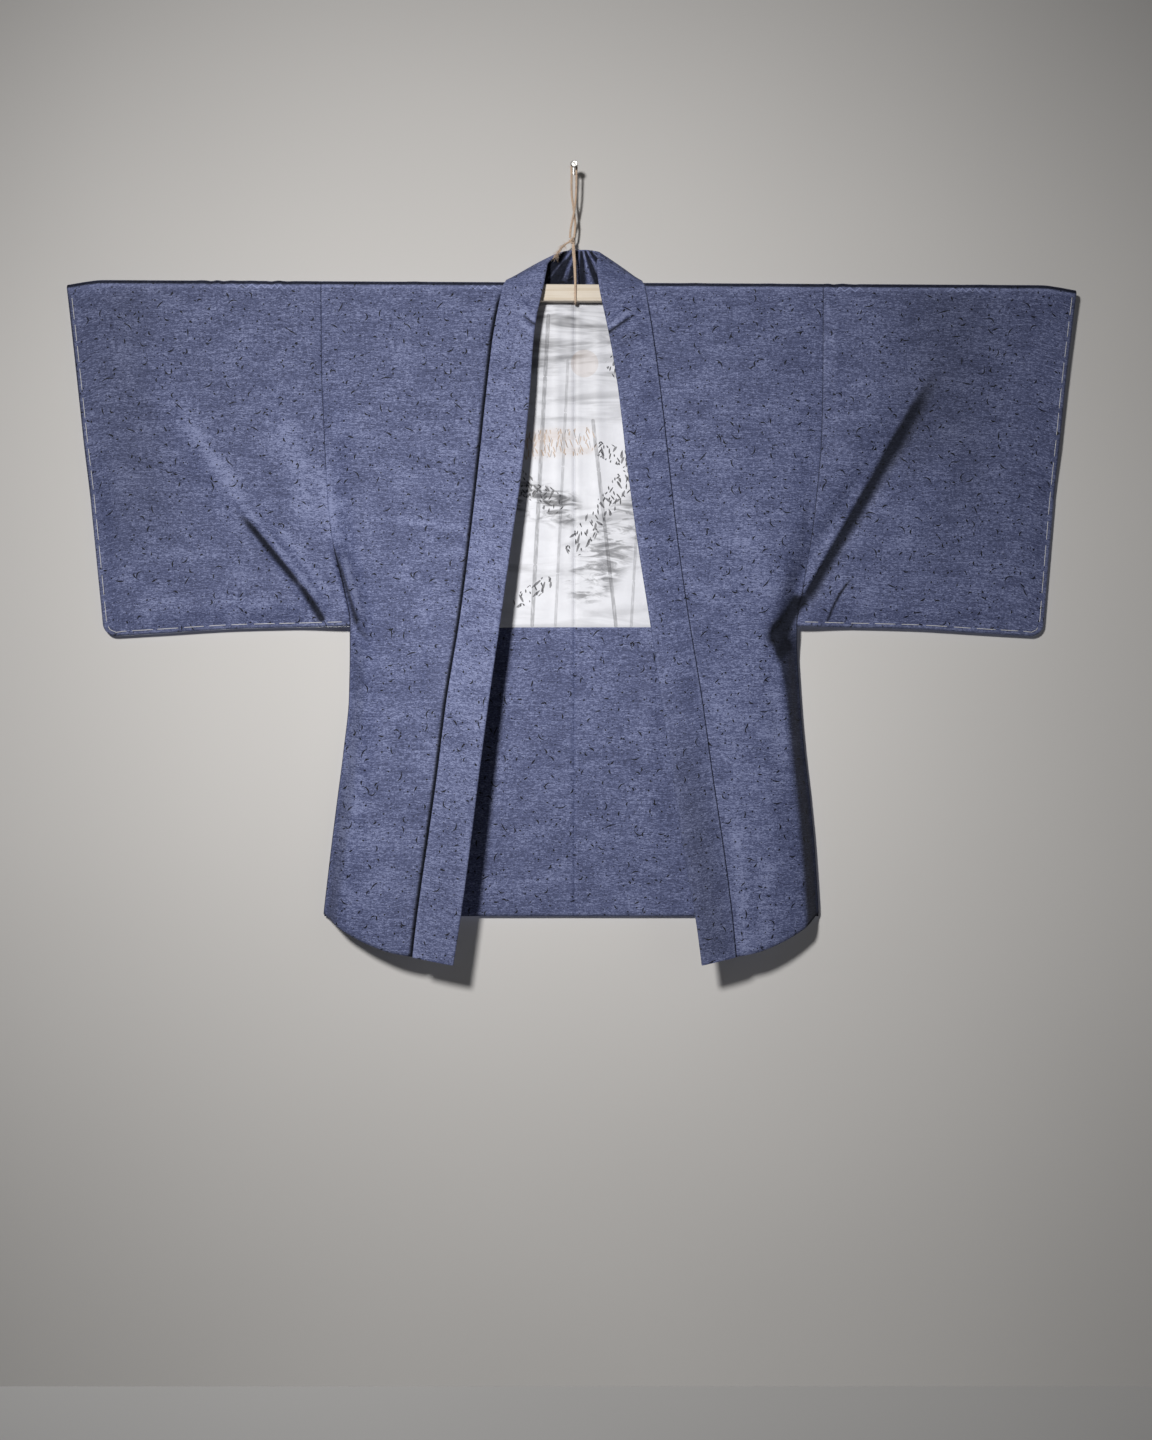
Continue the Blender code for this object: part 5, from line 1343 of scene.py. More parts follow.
def stroke_mask(flat, row, **more):
    """Mask of one table row's scattered strokes, shifted so that no two rows share their places."""
    moved = vector_calc("ADD", flat, (row["shift"], row["shift"], 0.0))
    return use_group("scattered_strokes", moved, Spacing=row["spacing"], Share=row["share"], Length=row["length"],
                     Width=row["width"], **more)["Mask"]


def painted_top_light(tree):
    """Masks by the batten's top: a painted shade line along each edge, and the pale painted highlight strip with its
    zigzag highlights.
    """
    down = calc("MULTIPLY_ADD", look(tree, "top"), -TOP_REACH, TOP_REACH)
    x = axes_of(object_place(tree))["X"]
    often, far = ZIGZAG_SWAY
    bent = calc("ADD", x, times(calc("SINE", times(x, often)), far))
    bends = calc("MULTIPLY_ADD", calc("PINGPONG", bent, ZIGZAG_HALF), ZIGZAG_SLOPE, HIGHLIGHT_STRIP - ZIGZAG_DEPTH)
    zigzag = soft_range(calc("ABSOLUTE", calc("SUBTRACT", down, bends)), *ZIGZAG_WIDTHS)
    here = highest([soft_range(calc("ABSOLUTE", calc("SUBTRACT", x, place)), reach, reach * ZIGZAG_FADE)
                    for place, reach in ZIGZAGS])
    strip = calc("ABSOLUTE", calc("SUBTRACT", down, HIGHLIGHT_STRIP))
    strip = soft_range(strip, HIGHLIGHT_STRIP_REACH, 0.0, 0.0, HIGHLIGHT_STRIP_SHARE)
    line = times(soft_range(down, *TOP_LINE_START), soft_range(down, *TOP_LINE_END), TOP_LINE_SHARE)
    return line, highest((times(zigzag, here, ZIGZAG_SHARE), strip))


def shell_finish(colours):
    """Slubbed silk: uneven weft yarns, black flecks, painted highlights on ridges, worn edges that also take a
    painted highlight, painted shade in deep folds, a painted shade line and highlight strip by the batten's top, and
    a soft sheen.
    """
    material, tree = new_finish(
        "slubbed_shell_silk", 0.62, Specular_IOR_Level=0.18, Sheen_Weight=0.03, Sheen_Roughness=0.35,
        Sheen_Tint=(0.72, 0.76, 1.0, 1.0))
    flat = flat_coordinates(tree)
    yarns = use_group("woven_yarns", flat)
    tone = look(tree, "tone")
    # A painted highlight, where the tone is above 0, turns more of the yarns light.
    yarns_with_highlight = calc("MULTIPLY_ADD", calc("MAXIMUM", tone, 0.0), 0.085, yarns["Tone"])
    dark_yarns = times(soft_range(yarns_with_highlight, 0.505, 0.425), 0.65)
    light_yarns = times(soft_range(yarns_with_highlight, 0.490, 0.600), 0.80)
    flecks = highest([times(stroke_mask(flat, row, Bend=row["bend"]), row["strength"]) for row in FLECKS])
    # Edges worn paler, which also stand in as a painted highlight along folds and hems.
    worn_and_highlit_edges = times(use_group("wear_and_highlight_patches", flat, Edge=look(tree, "edge"), Grain=260.0)["Mask"], 0.35)
    # Painted shade along the batten's top, and the painted highlight strip below it.
    top, painted_highlight_strip = painted_top_light(tree)
    # Painted shade: the dark of folds and shaded places, from the tone, and of the line along the batten's top,
    # blended to the fleck colour.
    painted_shade = highest((soft_range(tone, 0.0, -1.0, 0.0, 0.93), top))
    color = colours.cloth
    for share, other in ((dark_yarns, colours.shade), (light_yarns, colours.yarn), (flecks, colours.fleck),
                         (worn_and_highlit_edges, colours.yarn), (painted_highlight_strip, [HIGHLIGHT_LIGHTNESS * value for value in colours.yarn]),
                         (painted_shade, colours.fleck)):
        color = blend(share, color, other)
    rough = highest((soft_range(yarns["Tone"], 0.3, 0.7, 0.72, 0.56), painted_shade))
    return dress(material, color, rough, calc("MULTIPLY_ADD", flecks, 0.6, yarns["Height"]), 0.00035, 0.55)


# The lining's ink design, on its flat coordinates.
CULMS = table(
    "x0 z0 x1 z1 width tone joints",
    (-0.056, -0.6065, -0.034, -0.19, 0.003, 0.5, 5), (-0.025, -0.6065, -0.008, -0.25, 0.0022, 0.34, 5),
    (0.056, -0.6065, 0.025, -0.33, 0.0028, 0.5, 4), (0.076, -0.6065, 0.09, -0.36, 0.0022, 0.34, 4),
    (-0.17, -0.6065, -0.15, -0.2, 0.004, 0.55, 5), (-0.26, -0.6065, -0.27, -0.26, 0.0034, 0.45, 4),
    (0.17, -0.6065, 0.19, -0.22, 0.0042, 0.6, 5), (0.27, -0.6065, 0.255, -0.3, 0.003, 0.4, 4))
CULM_JOINT = 0.03         # each joint ends this share of its length short
GROVES = table(
    "x0 z0 x1 z1 width",
    (-0.085, -0.405, -0.025, -0.442, 0.02), (0.038, -0.37, 0.076, -0.388, 0.015),
    (0.068, -0.412, 0.002, -0.498, 0.019), (-0.074, -0.572, -0.038, -0.548, 0.013),
    (0.052, -0.256, 0.085, -0.296, 0.014), (-0.19, -0.3, -0.14, -0.42, 0.022),
    (0.15, -0.33, 0.21, -0.42, 0.022), (-0.24, -0.52, -0.16, -0.56, 0.017), (0.18, -0.54, 0.25, -0.5, 0.018))
REED_BEDS = table(
    "x0 z0 x1 z1 width",
    (-0.062, -0.366, 0.012, -0.358, 0.025), (-0.25, -0.47, -0.2, -0.46, 0.017), (0.22, -0.43, 0.29, -0.44, 0.017))
STROKES = table(
    "bed color spacing share length width turn0 turn1 tone shift",
    ("reeds", "ochre", 0.0075, 0.85, 0.0150, 0.00100, 1.10, 1.95, 0.65, 2.60),
    ("reeds", "ink", 0.0095, 0.75, 0.0130, 0.00055, 1.15, 1.90, 0.60, 6.10),
    ("groves", "ink", 0.0118, 0.85, 0.0102, 0.00205, 0.60, 2.55, 0.80, 1.30),
    ("groves", "ink", 0.0074, 0.75, 0.0060, 0.00120, 0.70, 2.45, 1.00, 4.70))
STROKE_BEND = 14.0
# Bands of ink mist; the first, at the lining's top, is painted shade.
MIST_BANDS = table(
    "z height tone",
    (-0.19, 0.05, 0.85), (-0.245, 0.06, 0.7), (-0.315, 0.034, 0.45), (-0.452, 0.03, 0.42), (-0.52, 0.05, 0.3),
    (-0.592, 0.02, 0.25))
BANKS = table(
    "x0 z0 x1 z1 width tone",
    (0.085, -0.45, 0.02, -0.545, 0.042, 0.7), (-0.085, -0.425, -0.015, -0.45, 0.032, 0.85),
    (-0.23, -0.42, -0.15, -0.47, 0.042, 0.45), (0.16, -0.45, 0.24, -0.4, 0.042, 0.45))
AREA_CORE = 0.45          # a bank, grove or reed bed is whole within this share of its width
MOON_PLACE = (0.014, -0.256, 0.0)
MOON_RADIUS = 0.0190


def brushed_area(flat, rows):
    """The area round a table's lines."""
    masks = []
    for row in rows:
        mask = use_group("brush_line", flat, Start=(row["x0"], row["z0"], 0.0), End=(row["x1"], row["z1"], 0.0),
                         Width=row["width"], Core=AREA_CORE)["Mask"]
        masks.append(times(mask, row["tone"]) if "tone" in row else mask)
    return highest(masks)


def misty_wash(flat, mist):
    """Mask of the mist's bands, the first of them painted shade, and of the banks."""
    down = axes_of(flat)["Y"]
    bands = []
    for row in MIST_BANDS:
        band = calc("DIVIDE", calc("ABSOLUTE", calc("SUBTRACT", down, row["z"])), row["height"])
        bands.append(times(soft_range(band, 1.0, 0.2), soft_range(mist, 0.42, 0.66, 0.0, row["tone"])))
    banks = times(brushed_area(flat, BANKS), soft_range(noise(flat, (26.0, 90.0, 1.0), 4.0, 0.6, 1.2), 0.40, 0.64))
    return highest((highest(bands), banks))


def bamboo_culms(flat):
    """Mask of the jointed bamboo culms, brushed half dry."""
    joints = []
    for row in CULMS:
        start = Vector((row["x0"], row["z0"], 0.0))
        reach = Vector((row["x1"], row["z1"], 0.0)) - start
        for number in range(row["joints"]):
            first, last = (start + reach * ((number + part) / row["joints"])
                           for part in (CULM_JOINT, 1.0 - CULM_JOINT))
            mask = use_group("brush_line", flat, Start=first, End=last, Width=row["width"])["Mask"]
            joints.append(times(mask, row["tone"]))
    dry = noise(flat, (420.0, 90.0, 1.0), 2.0, 0.6)
    return times(highest(joints), soft_range(dry, 0.30, 0.60, 0.45, 1.0))


def lining_finish(colours):
    """Smooth ivory silk with an ink wash: bamboo, reeds, mist and a pale moon, and painted shade at its top."""
    material, tree = new_finish(
        "ivory_lining_silk", 0.50, Specular_IOR_Level=0.35, Sheen_Weight=0.12, Sheen_Roughness=0.4)
    flat = flat_coordinates(tree)
    swim = noise(flat, (34.0, 34.0, 1.0), 3.0, 0.6)
    mist = noise(flat, (9.0, 46.0, 1.0), 4.0, 0.55, 0.6)
    clumps = noise(flat, (60.0, 60.0, 1.0), 2.0, 0.5)
    weave = noise(flat, (900.0, 1500.0, 1.0), 2.0, 0.6)
    moon = vector_calc("DISTANCE", flat, MOON_PLACE, output=1)
    beds = {"groves": brushed_area(flat, GROVES), "reeds": brushed_area(flat, REED_BEDS)}
    color = colours.lining
    for share, other in (
            (soft_range(swim, 0.35, 0.70, 0.0, 0.08), colours.ink), (misty_wash(flat, mist), colours.ink),
            (soft_range(moon, MOON_RADIUS, MOON_RADIUS * 0.93, 0.0, 0.22), colours.ochre),
            (bamboo_culms(flat), colours.ink),
            (times(beds["reeds"], soft_range(mist, 0.38, 0.62, 0.02, 0.34)), colours.ochre)):
        color = blend(share, color, other)
    beds = {key: soft_range(calc("ADD", bed, clumps), 0.95, 1.08) for key, bed in beds.items()}
    for row in STROKES:
        mask = stroke_mask(flat, row, Bend=STROKE_BEND, Turn_from=row["turn0"], Turn_to=row["turn1"])
        color = blend(times(mask, beds[row["bed"]], row["tone"]), color, getattr(colours, row["color"]))
    rough = soft_range(weave, 0.3, 0.7, 0.55, 0.44)
    return dress(material, color, rough, calc("MULTIPLY_ADD", swim, 2.0, weave), 0.0002, 0.4)


def inner_finish(colours):
    """Plain ivory silk on the inside of fronts and sleeves."""
    material, tree = new_finish(
        "plain_inner_silk", 0.52, Specular_IOR_Level=0.35, Sheen_Weight=0.12, Sheen_Roughness=0.4)
    flat = flat_coordinates(tree)
    swim = noise(flat, (30.0, 42.0, 1.0), 3.0, 0.6)
    weave = noise(flat, (900.0, 1500.0, 1.0), 2.0, 0.6)
    color = blend(soft_range(swim, 0.35, 0.70, 0.0, 0.09), colours.lining, colours.ink)
    color = blend(soft_range(weave, 0.45, 0.75, 0.0, 0.08), color, colours.ink)
    rough = soft_range(weave, 0.3, 0.7, 0.58, 0.46)
    return dress(material, color, rough, calc("MULTIPLY_ADD", swim, 2.0, weave), 0.0002, 0.4)


def wood_finish(colours):
    """Planed softwood: long grain along X, darker late-wood lines and small rubbed marks."""
    material, tree = new_finish("planed_softwood", 0.55, Specular_IOR_Level=0.4)
    place = object_place(tree)
    rings = noise(place, (2.6, 120.0, 190.0), 3.0, 0.55, 0.4)
    fibre = noise(place, (24.0, 900.0, 1300.0), 2.0, 0.6)
    line = soft_range(rings, 0.50, 0.62)
    grime = use_group("wear_and_highlight_patches", place, Edge=1.0, Grain=55.0)["Mask"]
    color = colours.wood
    for share in (times(line, 0.55), soft_range(fibre, 0.45, 0.75, 0.0, 0.30), times(grime, 0.10)):
        color = blend(share, color, colours.grain)
    rough = soft_range(fibre, 0.3, 0.7, 0.62, 0.48)
    return dress(material, color, rough, calc("MULTIPLY_ADD", fibre, 0.6, line), 0.0003, 0.5)


def jute_finish(colours):
    """Hairy twisted jute: pale and dark fibres along the twist."""
    material, tree = new_finish(
        "twisted_jute", 0.85, Specular_IOR_Level=0.25, Sheen_Weight=0.35, Sheen_Roughness=0.5)
    flat = flat_coordinates(tree)
    fibre = noise(flat, (2600.0, 240.0, 1.0), 3.0, 0.65)
    patch = noise(flat, (40.0, 120.0, 1.0), 2.0, 0.5)
    pale = [min(1.0, value * 1.55) for value in colours.jute]
    dull = [value * 0.42 for value in colours.jute]
    color = blend(soft_range(fibre, 0.48, 0.32), colours.jute, dull)
    color = blend(soft_range(fibre, 0.52, 0.68), color, pale)
    color = blend(soft_range(patch, 0.50, 0.70, 0.0, 0.35), color, dull)
    return dress(material, color, soft_range(fibre, 0.3, 0.7, 0.92, 0.78), fibre, 0.0003, 0.8)


def steel_finish(colours):
    """Bright drawn wire with a rubbed, slightly tarnished face."""
    material, tree = new_finish("bright_wire_steel", 0.32, Metallic=1.0)
    place = object_place(tree)
    marks = noise(place, (900.0, 120.0, 900.0), 3.0, 0.6)
    tarnish = use_group("wear_and_highlight_patches", place, Edge=1.0, Grain=420.0)["Mask"]
    color = blend(times(tarnish, 0.6), colours.steel, [value * 0.45 for value in colours.steel])
    return dress(material, color, soft_range(marks, 0.3, 0.7, 0.24, 0.46), marks, 0.0001, 0.5)


def thread_finish(colours):
    """White cotton thread with its twist."""
    material, tree = new_finish(
        "white_cotton_thread", 0.7, Specular_IOR_Level=0.3, Sheen_Weight=0.3, Sheen_Roughness=0.5)
    flat = flat_coordinates(tree)
    twist = add_node(tree, "ShaderNodeTexWave", {"Vector": flat, "Scale": 1.0, "Distortion": 0.6},
                     wave_type="BANDS", bands_direction="DIAGONAL").outputs["Fac"]
    fluff = noise(flat, (300.0, 300.0, 1.0), 2.0, 0.6)
    color = blend(soft_range(times(twist, fluff), 0.0, 0.4, 0.5, 0.0), colours.thread,
                  [value * 0.62 for value in colours.thread])
    return dress(material, color, None, twist, 0.0001, 0.5)


def room_finish(name, colours, one_sided):
    """Plain pale paint. A one-sided wall can't be seen from behind."""
    material, tree = new_finish(name, 0.9, Specular_IOR_Level=0.2)
    cloudy = noise(object_place(tree), (1.3, 1.3, 1.3), 2.0, 0.5)
    dress(material, blend(soft_range(cloudy, 0.3, 0.7), colours.room, [value * 0.96 for value in colours.room]))
    if one_sided:
        shader = tree.nodes["Principled BSDF"]
        clear = add_node(tree, "ShaderNodeBsdfTransparent")
        behind = add_node(tree, "ShaderNodeNewGeometry").outputs["Backfacing"]
        mixed = add_node(tree, "ShaderNodeMixShader", {0: behind, 1: shader.outputs[0], 2: clear.outputs[0]})
        join(tree.nodes["Material Output"], "Surface", mixed.outputs[0])
    return material


FINISHES = {}


def finish_of(name):
    """A finish by its name, made with its groups when it is first asked for."""
    if "woven_yarns" not in bpy.data.node_groups:
        for make in (make_yarn_group, make_stroke_group, make_line_group, make_wear_and_highlight_group):
            make()
    if name not in FINISHES:
        makers = {"shell": shell_finish, "lining": lining_finish, "inner": inner_finish, "wood": wood_finish,
                  "jute": jute_finish, "steel": steel_finish, "thread": thread_finish}
        FINISHES[name] = makers[name](bpy.context.scene.haori_colours)
    return FINISHES[name]


# ---------------------------------------------------------------- twine
KNOT = (-0.0030, -0.0217, -0.0955)
OVER_NAIL = NAIL_SHANK / 2 + SEAM_GAP + TWINE / 2
DIAGONAL = math.sin(math.radians(45.0))

# Two strands from the knot up to the nail, crossing once on the way.
HANGER_ROUTE = (
    (-0.0052, -0.0217, -0.0914), (-0.0040, -0.0240, -0.0780), (0.0005, -0.0288, -0.0570),
    (0.0028, -0.0318, -0.0350), (OVER_NAIL, -TWINE_ON_NAIL, -0.0100), (OVER_NAIL, -TWINE_ON_NAIL, 0.0),
    (OVER_NAIL * DIAGONAL, -TWINE_ON_NAIL, OVER_NAIL * DIAGONAL), (0.0, -TWINE_ON_NAIL, OVER_NAIL),
    (-OVER_NAIL * DIAGONAL, -TWINE_ON_NAIL, OVER_NAIL * DIAGONAL), (-OVER_NAIL, -TWINE_ON_NAIL, 0.0),
    (-OVER_NAIL, -TWINE_ON_NAIL, -0.0100), (-0.0030, -0.0290, -0.0350), (0.0000, -0.0246, -0.0570),
    (0.0018, -0.0222, -0.0750), (0.0002, -0.0217, -0.0914))

SLING_X = 0.0018
SLING_SPARE = 0.0003
SLING_TURN = BATTEN_EDGE + SEAM_GAP + TWINE / 2 + SLING_SPARE     # bend round the batten's lower edges
SLING_END_Z = -0.1540     # the sling is straight above this level, before and behind the batten
PLIES = 3
PLY_PITCH = 0.0095        # length over which a ply goes once round
PLY_OUT = 0.54            # a ply's middle runs at this share of the cord's radius
PLY_RADIUS = 0.58         # its own radius, as the same share
PLY_SIDES = 8
PLY_SHIFT = 0.37          # between two plies' flat coordinates
CORD_STEP = 0.0007        # spacing of the points along a cord
KNOT_GIRTH = 0.46         # radius of the cord in the knot, as a share of the twine's diameter
END_GIRTH = 0.42          # and of the free end that leaves it
KNOT_POINTS = 90          # round the knot's two wraps
KNOT_HEIGHT = 0.0036
KNOT_SLANT = 0.0006
KNOT_REACH = (0.0026, 0.0023)     # of a wrap's middle from the knot's, across and out
FRAY_SPREAD = 0.75        # how far the frayed fibres leave the end's own way
FRAY_FALL = (0.05, -0.05, -0.25)
FIBRE_SHAPE = ((0.0, 1.0), (0.3, 1.0), (0.65, 0.8), (1.0, 0.3))     # along a fibre, and its radius there
FIBRES_OVER = 0.3         # the setting counts the loose fibres on this length of twine


def sling_corner(turn):
    """A point of the sling round the batten's lower edges, from 0 before it to 180 degrees behind it."""
    reach = BATTEN_DEPTH / 2 - BATTEN_EDGE
    centre = reach if turn < 90.0 else (-reach if turn > 90.0 else 0.0)
    angle = math.radians(turn)
    return (SLING_X, -BATTEN_OUT - centre - SLING_TURN * math.cos(angle),
            BATTEN_TOP - BATTEN_HEIGHT + BATTEN_EDGE - SLING_TURN * math.sin(angle))


# From the knot down before the batten, under it and up behind it to the knot again.
SLING_ROUTE = (
    (-0.0006, -0.0236, -0.0990), (0.0008, -0.0268, -0.1180), (0.0016, -0.0288, -0.1400),
    (SLING_X, sling_corner(0.0)[1], SLING_END_Z), *[sling_corner(turn) for turn in (0, 30, 60, 90, 120, 150, 180)],
    (0.0016, sling_corner(180.0)[1], SLING_END_Z), (0.0006, -0.0162, -0.1300), (-0.0012, -0.0192, -0.1100),
    (-0.0012, -0.0201, -0.0990))

# The frayed ends leave the knot down to the left.
TAIL_ROUTE = (
    KNOT, (-0.0095, -0.0235, -0.0990), (-0.0160, -0.0260, -0.1050), (-0.0205, -0.0270, -0.1120),
    (-0.0235, -0.0275, -0.1158))
# The strand that lies over the knot's wraps, from the knot's middle.
BIGHT_ROUTE = (
    (0.0022, 0.0000, 0.0034), (0.0004, -0.0034, 0.0020), (-0.0014, -0.0036, -0.0012), (0.0006, -0.0026, -0.0032),
    (0.0024, 0.0002, -0.0026))


def smooth_route(points, step):
    """Points along a smooth line through the given ones, about one step apart."""
    anchors = [Vector(point) for point in points]
    route = []
    for index in range(len(anchors) - 1):
        near = neighbours(anchors, index)
        count = max(1, round((near[2] - near[1]).length / step))
        route += [smooth_step(near, number / count) for number in range(count)]
    route.append(anchors[-1])
    return route


def route_runs(route):
    """Length of a line through points up to each of them."""
    runs = [0.0]
    for before, after in zip(route, route[1:]):
        runs.append(runs[-1] + (after - before).length)
    return runs


def carried_frames(route):
    """At each point of a route, the way along it and two ways square to it that don't twist."""
    frames = []
    side = None
    for index, point in enumerate(route):
        before = route[max(index - 1, 0)]
        after = route[min(index + 1, len(route) - 1)]
        ahead = (after - before).normalized()
        if side is None:
            side = ahead.orthogonal().normalized()
        side = (side - ahead * side.dot(ahead)).normalized()
        frames.append((ahead, side, ahead.cross(side)))
    return frames


def add_tube(shape, layer, centres, frames, radii, sides, start=0.0):
    """A capped round tube in a bmesh, with flat coordinates round and along it."""
    rings = []
    for centre, (_, across, up), radius in zip(centres, frames, radii):
        turns = [2.0 * math.pi * number / sides for number in range(sides)]
        rings.append([shape.verts.new(centre + (across * math.cos(turn) + up * math.sin(turn)) * radius)
                      for turn in turns])
    run = start
    for index in range(len(rings) - 1):
        reach = (centres[index + 1] - centres[index]).length
        for number in range(sides):
            after = (number + 1) % sides
            face = shape.faces.new((rings[index][number], rings[index][after],
                                    rings[index + 1][after], rings[index + 1][number]))
            face.smooth = True
            girth = 2.0 * math.pi * radii[index] / sides
            places = ((number, run), (number + 1, run), (number + 1, run + reach), (number, run + reach))
            for loop, (turn, along) in zip(face.loops, places):
                loop[layer].uv = (turn * girth, along)
        run += reach
    shape.faces.new(rings[0][::-1])
    shape.faces.new(rings[-1])


def add_plies(shape, layer, route, radius):
    """A cord of plies that turn round each other along a route."""
    frames = carried_frames(route)
    runs = route_runs(route)
    for ply in range(PLIES):
        centres = []
        for point, (_, across, up), run in zip(route, frames, runs):
            turn = 2.0 * math.pi * (run / PLY_PITCH + ply / PLIES)
            centres.append(point + (across * math.cos(turn) + up * math.sin(turn)) * radius * PLY_OUT)
        threads = [radius * PLY_RADIUS] * len(route)
        add_tube(shape, layer, centres, carried_frames(centres), threads, PLY_SIDES, ply * PLY_SHIFT)


def add_fibre(shape, layer, start, way, sag, length, radius):
    """A thin loose fibre that bends as it leaves a cord."""
    points = [start + way * (length * share) + sag * (length * share * share) for share, _ in FIBRE_SHAPE]
    add_tube(shape, layer, points, carried_frames(points), [radius * size for _, size in FIBRE_SHAPE], 3)


def scatter_fibres(shape, layer, route, radius, count, seed):
    """Loose fibres all along a cord."""
    chance = np.random.RandomState(seed)
    frames = carried_frames(route)
    for _ in range(count):
        index = chance.randint(2, len(route) - 2)
        ahead, across, up = frames[index]
        turn = chance.uniform(0.0, 2.0 * math.pi)
        away = across * math.cos(turn) + up * math.sin(turn)
        way = (away * chance.uniform(0.25, 0.9) + ahead * chance.uniform(-1.0, 1.0)).normalized()
        sag = Vector((chance.uniform(-0.5, 0.5), chance.uniform(-0.5, 0.5), chance.uniform(-0.7, 0.2)))
        add_fibre(shape, layer, route[index] + away * radius * 0.8, way, sag,
                  chance.uniform(0.0015, 0.0050), chance.uniform(0.00006, 0.00011))


def bmesh_piece(name, shape, material, slot, *replaced):
    """A finished bmesh as a piece."""
    mesh = bpy.data.meshes.new(name)
    shape.to_mesh(mesh)
    shape.free()
    mesh.materials.append(material)
    return link_piece(name, mesh, slot, *replaced)


def start_shape():
    """An empty bmesh with its layer of flat coordinates."""
    shape = bmesh.new()
    return shape, shape.loops.layers.uv.new("flat")


CAMERA_PLACE = (0.00263, -2.671, -0.7301)
CAMERA_LENS = 50.0
CAMERA_SENSOR = 36.0


class OBJECT_OT_haori_camera(bpy.types.Operator):
    """Place the camera straight before the jacket"""

    bl_idname = "object.haori_camera"
    bl_label = "Camera"

    def execute(self, context):
        data = bpy.data.cameras.new("front_camera")
        data.lens = CAMERA_LENS
        data.sensor_width = CAMERA_SENSOR
        camera = bpy.data.objects.new("front_camera", data)
        context.scene.collection.objects.link(camera)
        camera.location = CAMERA_PLACE
        camera.rotation_euler = (math.radians(90.0), 0.0, 0.0)
        context.scene.camera = camera
        context.scene.view_settings.view_transform = "Standard"
        return {"FINISHED"}


class OBJECT_OT_haori_twine(bpy.types.Operator):
    """Make the jute twine: hanger, sling, knot and frayed ends"""

    bl_idname = "object.haori_twine"
    bl_label = "Twine"

    def execute(self, context):
        sizes = context.scene.haori_sizes
        jute = finish_of("jute")
        for name, places, seed in (("hanger", HANGER_ROUTE, 11), ("sling", SLING_ROUTE, 12)):
            route = smooth_route(places, CORD_STEP)
            length = route_runs(route)[-1]
            shape, layer = start_shape()
            add_plies(shape, layer, route, sizes.twine / 2)
            piece = bmesh_piece("jute_" + name, shape, jute, "jute_twine", "twine_" + name)
            shape, layer = start_shape()
            count = round(sizes.fibres * length / FIBRES_OVER)
            scatter_fibres(shape, layer, route, sizes.twine / 2, count, seed)
            bmesh_piece("jute_" + name + "_fibres", shape, jute, "jute_twine")
        self.make_knot(sizes, jute)
        return {"FINISHED"}

    def make_knot(self, sizes, jute):
        """A tight overhand knot, the end that leaves it and the fibres that fray from both."""
        middle = Vector(KNOT)
        across, out = KNOT_REACH
        wraps = []
        for number in range(KNOT_POINTS):
            turn = 4.0 * math.pi * number / KNOT_POINTS
            lift = (number / (KNOT_POINTS - 1) - 0.5) * KNOT_HEIGHT + math.sin(turn * 0.5) * KNOT_SLANT
            wraps.append(middle + Vector((math.cos(turn) * across, math.sin(turn) * out, lift)))
        bight = smooth_route([middle + Vector(place) for place in BIGHT_ROUTE], CORD_STEP)
        shape, layer = start_shape()
        for route in (wraps, bight):
            add_plies(shape, layer, route, sizes.twine * KNOT_GIRTH)
        bmesh_piece("jute_knot", shape, jute, "jute_twine", "twine_knot")

        tail = smooth_route(TAIL_ROUTE, CORD_STEP)
        shape, layer = start_shape()
        add_plies(shape, layer, tail, sizes.twine * END_GIRTH)
        piece = bmesh_piece("jute_end", shape, jute, "jute_twine")

        shape, layer = start_shape()
        chance = np.random.RandomState(13)
        way = (tail[-1] - tail[0]).normalized()
        for _ in range(sizes.frayed):
            start = tail[chance.randint(len(tail) // 3, len(tail))]
            spread = Vector(chance.uniform(-1.0, 1.0, 3)) * FRAY_SPREAD
            sag = Vector(FRAY_FALL) + Vector(chance.uniform(-0.5, 0.5, 3))
            add_fibre(shape, layer, start, (way + spread).normalized(), sag,
                      chance.uniform(0.003, 0.0080), chance.uniform(0.00014, 0.00028))
        scatter_fibres(shape, layer, wraps, sizes.twine / 2, sizes.fibres // 4, 14)
        bmesh_piece("jute_knot_fibres", shape, jute, "jute_twine")


def pick_faces(piece, wanted):
    """Select, in edit mode, only the faces that are wanted."""
    bpy.ops.object.mode_set(mode="EDIT")
    bpy.ops.mesh.select_all(action="DESELECT")
    shape = bmesh.from_edit_mesh(piece.data)
    for face in shape.faces:
        face.select_set(wanted(face))
    bmesh.update_edit_mesh(piece.data)


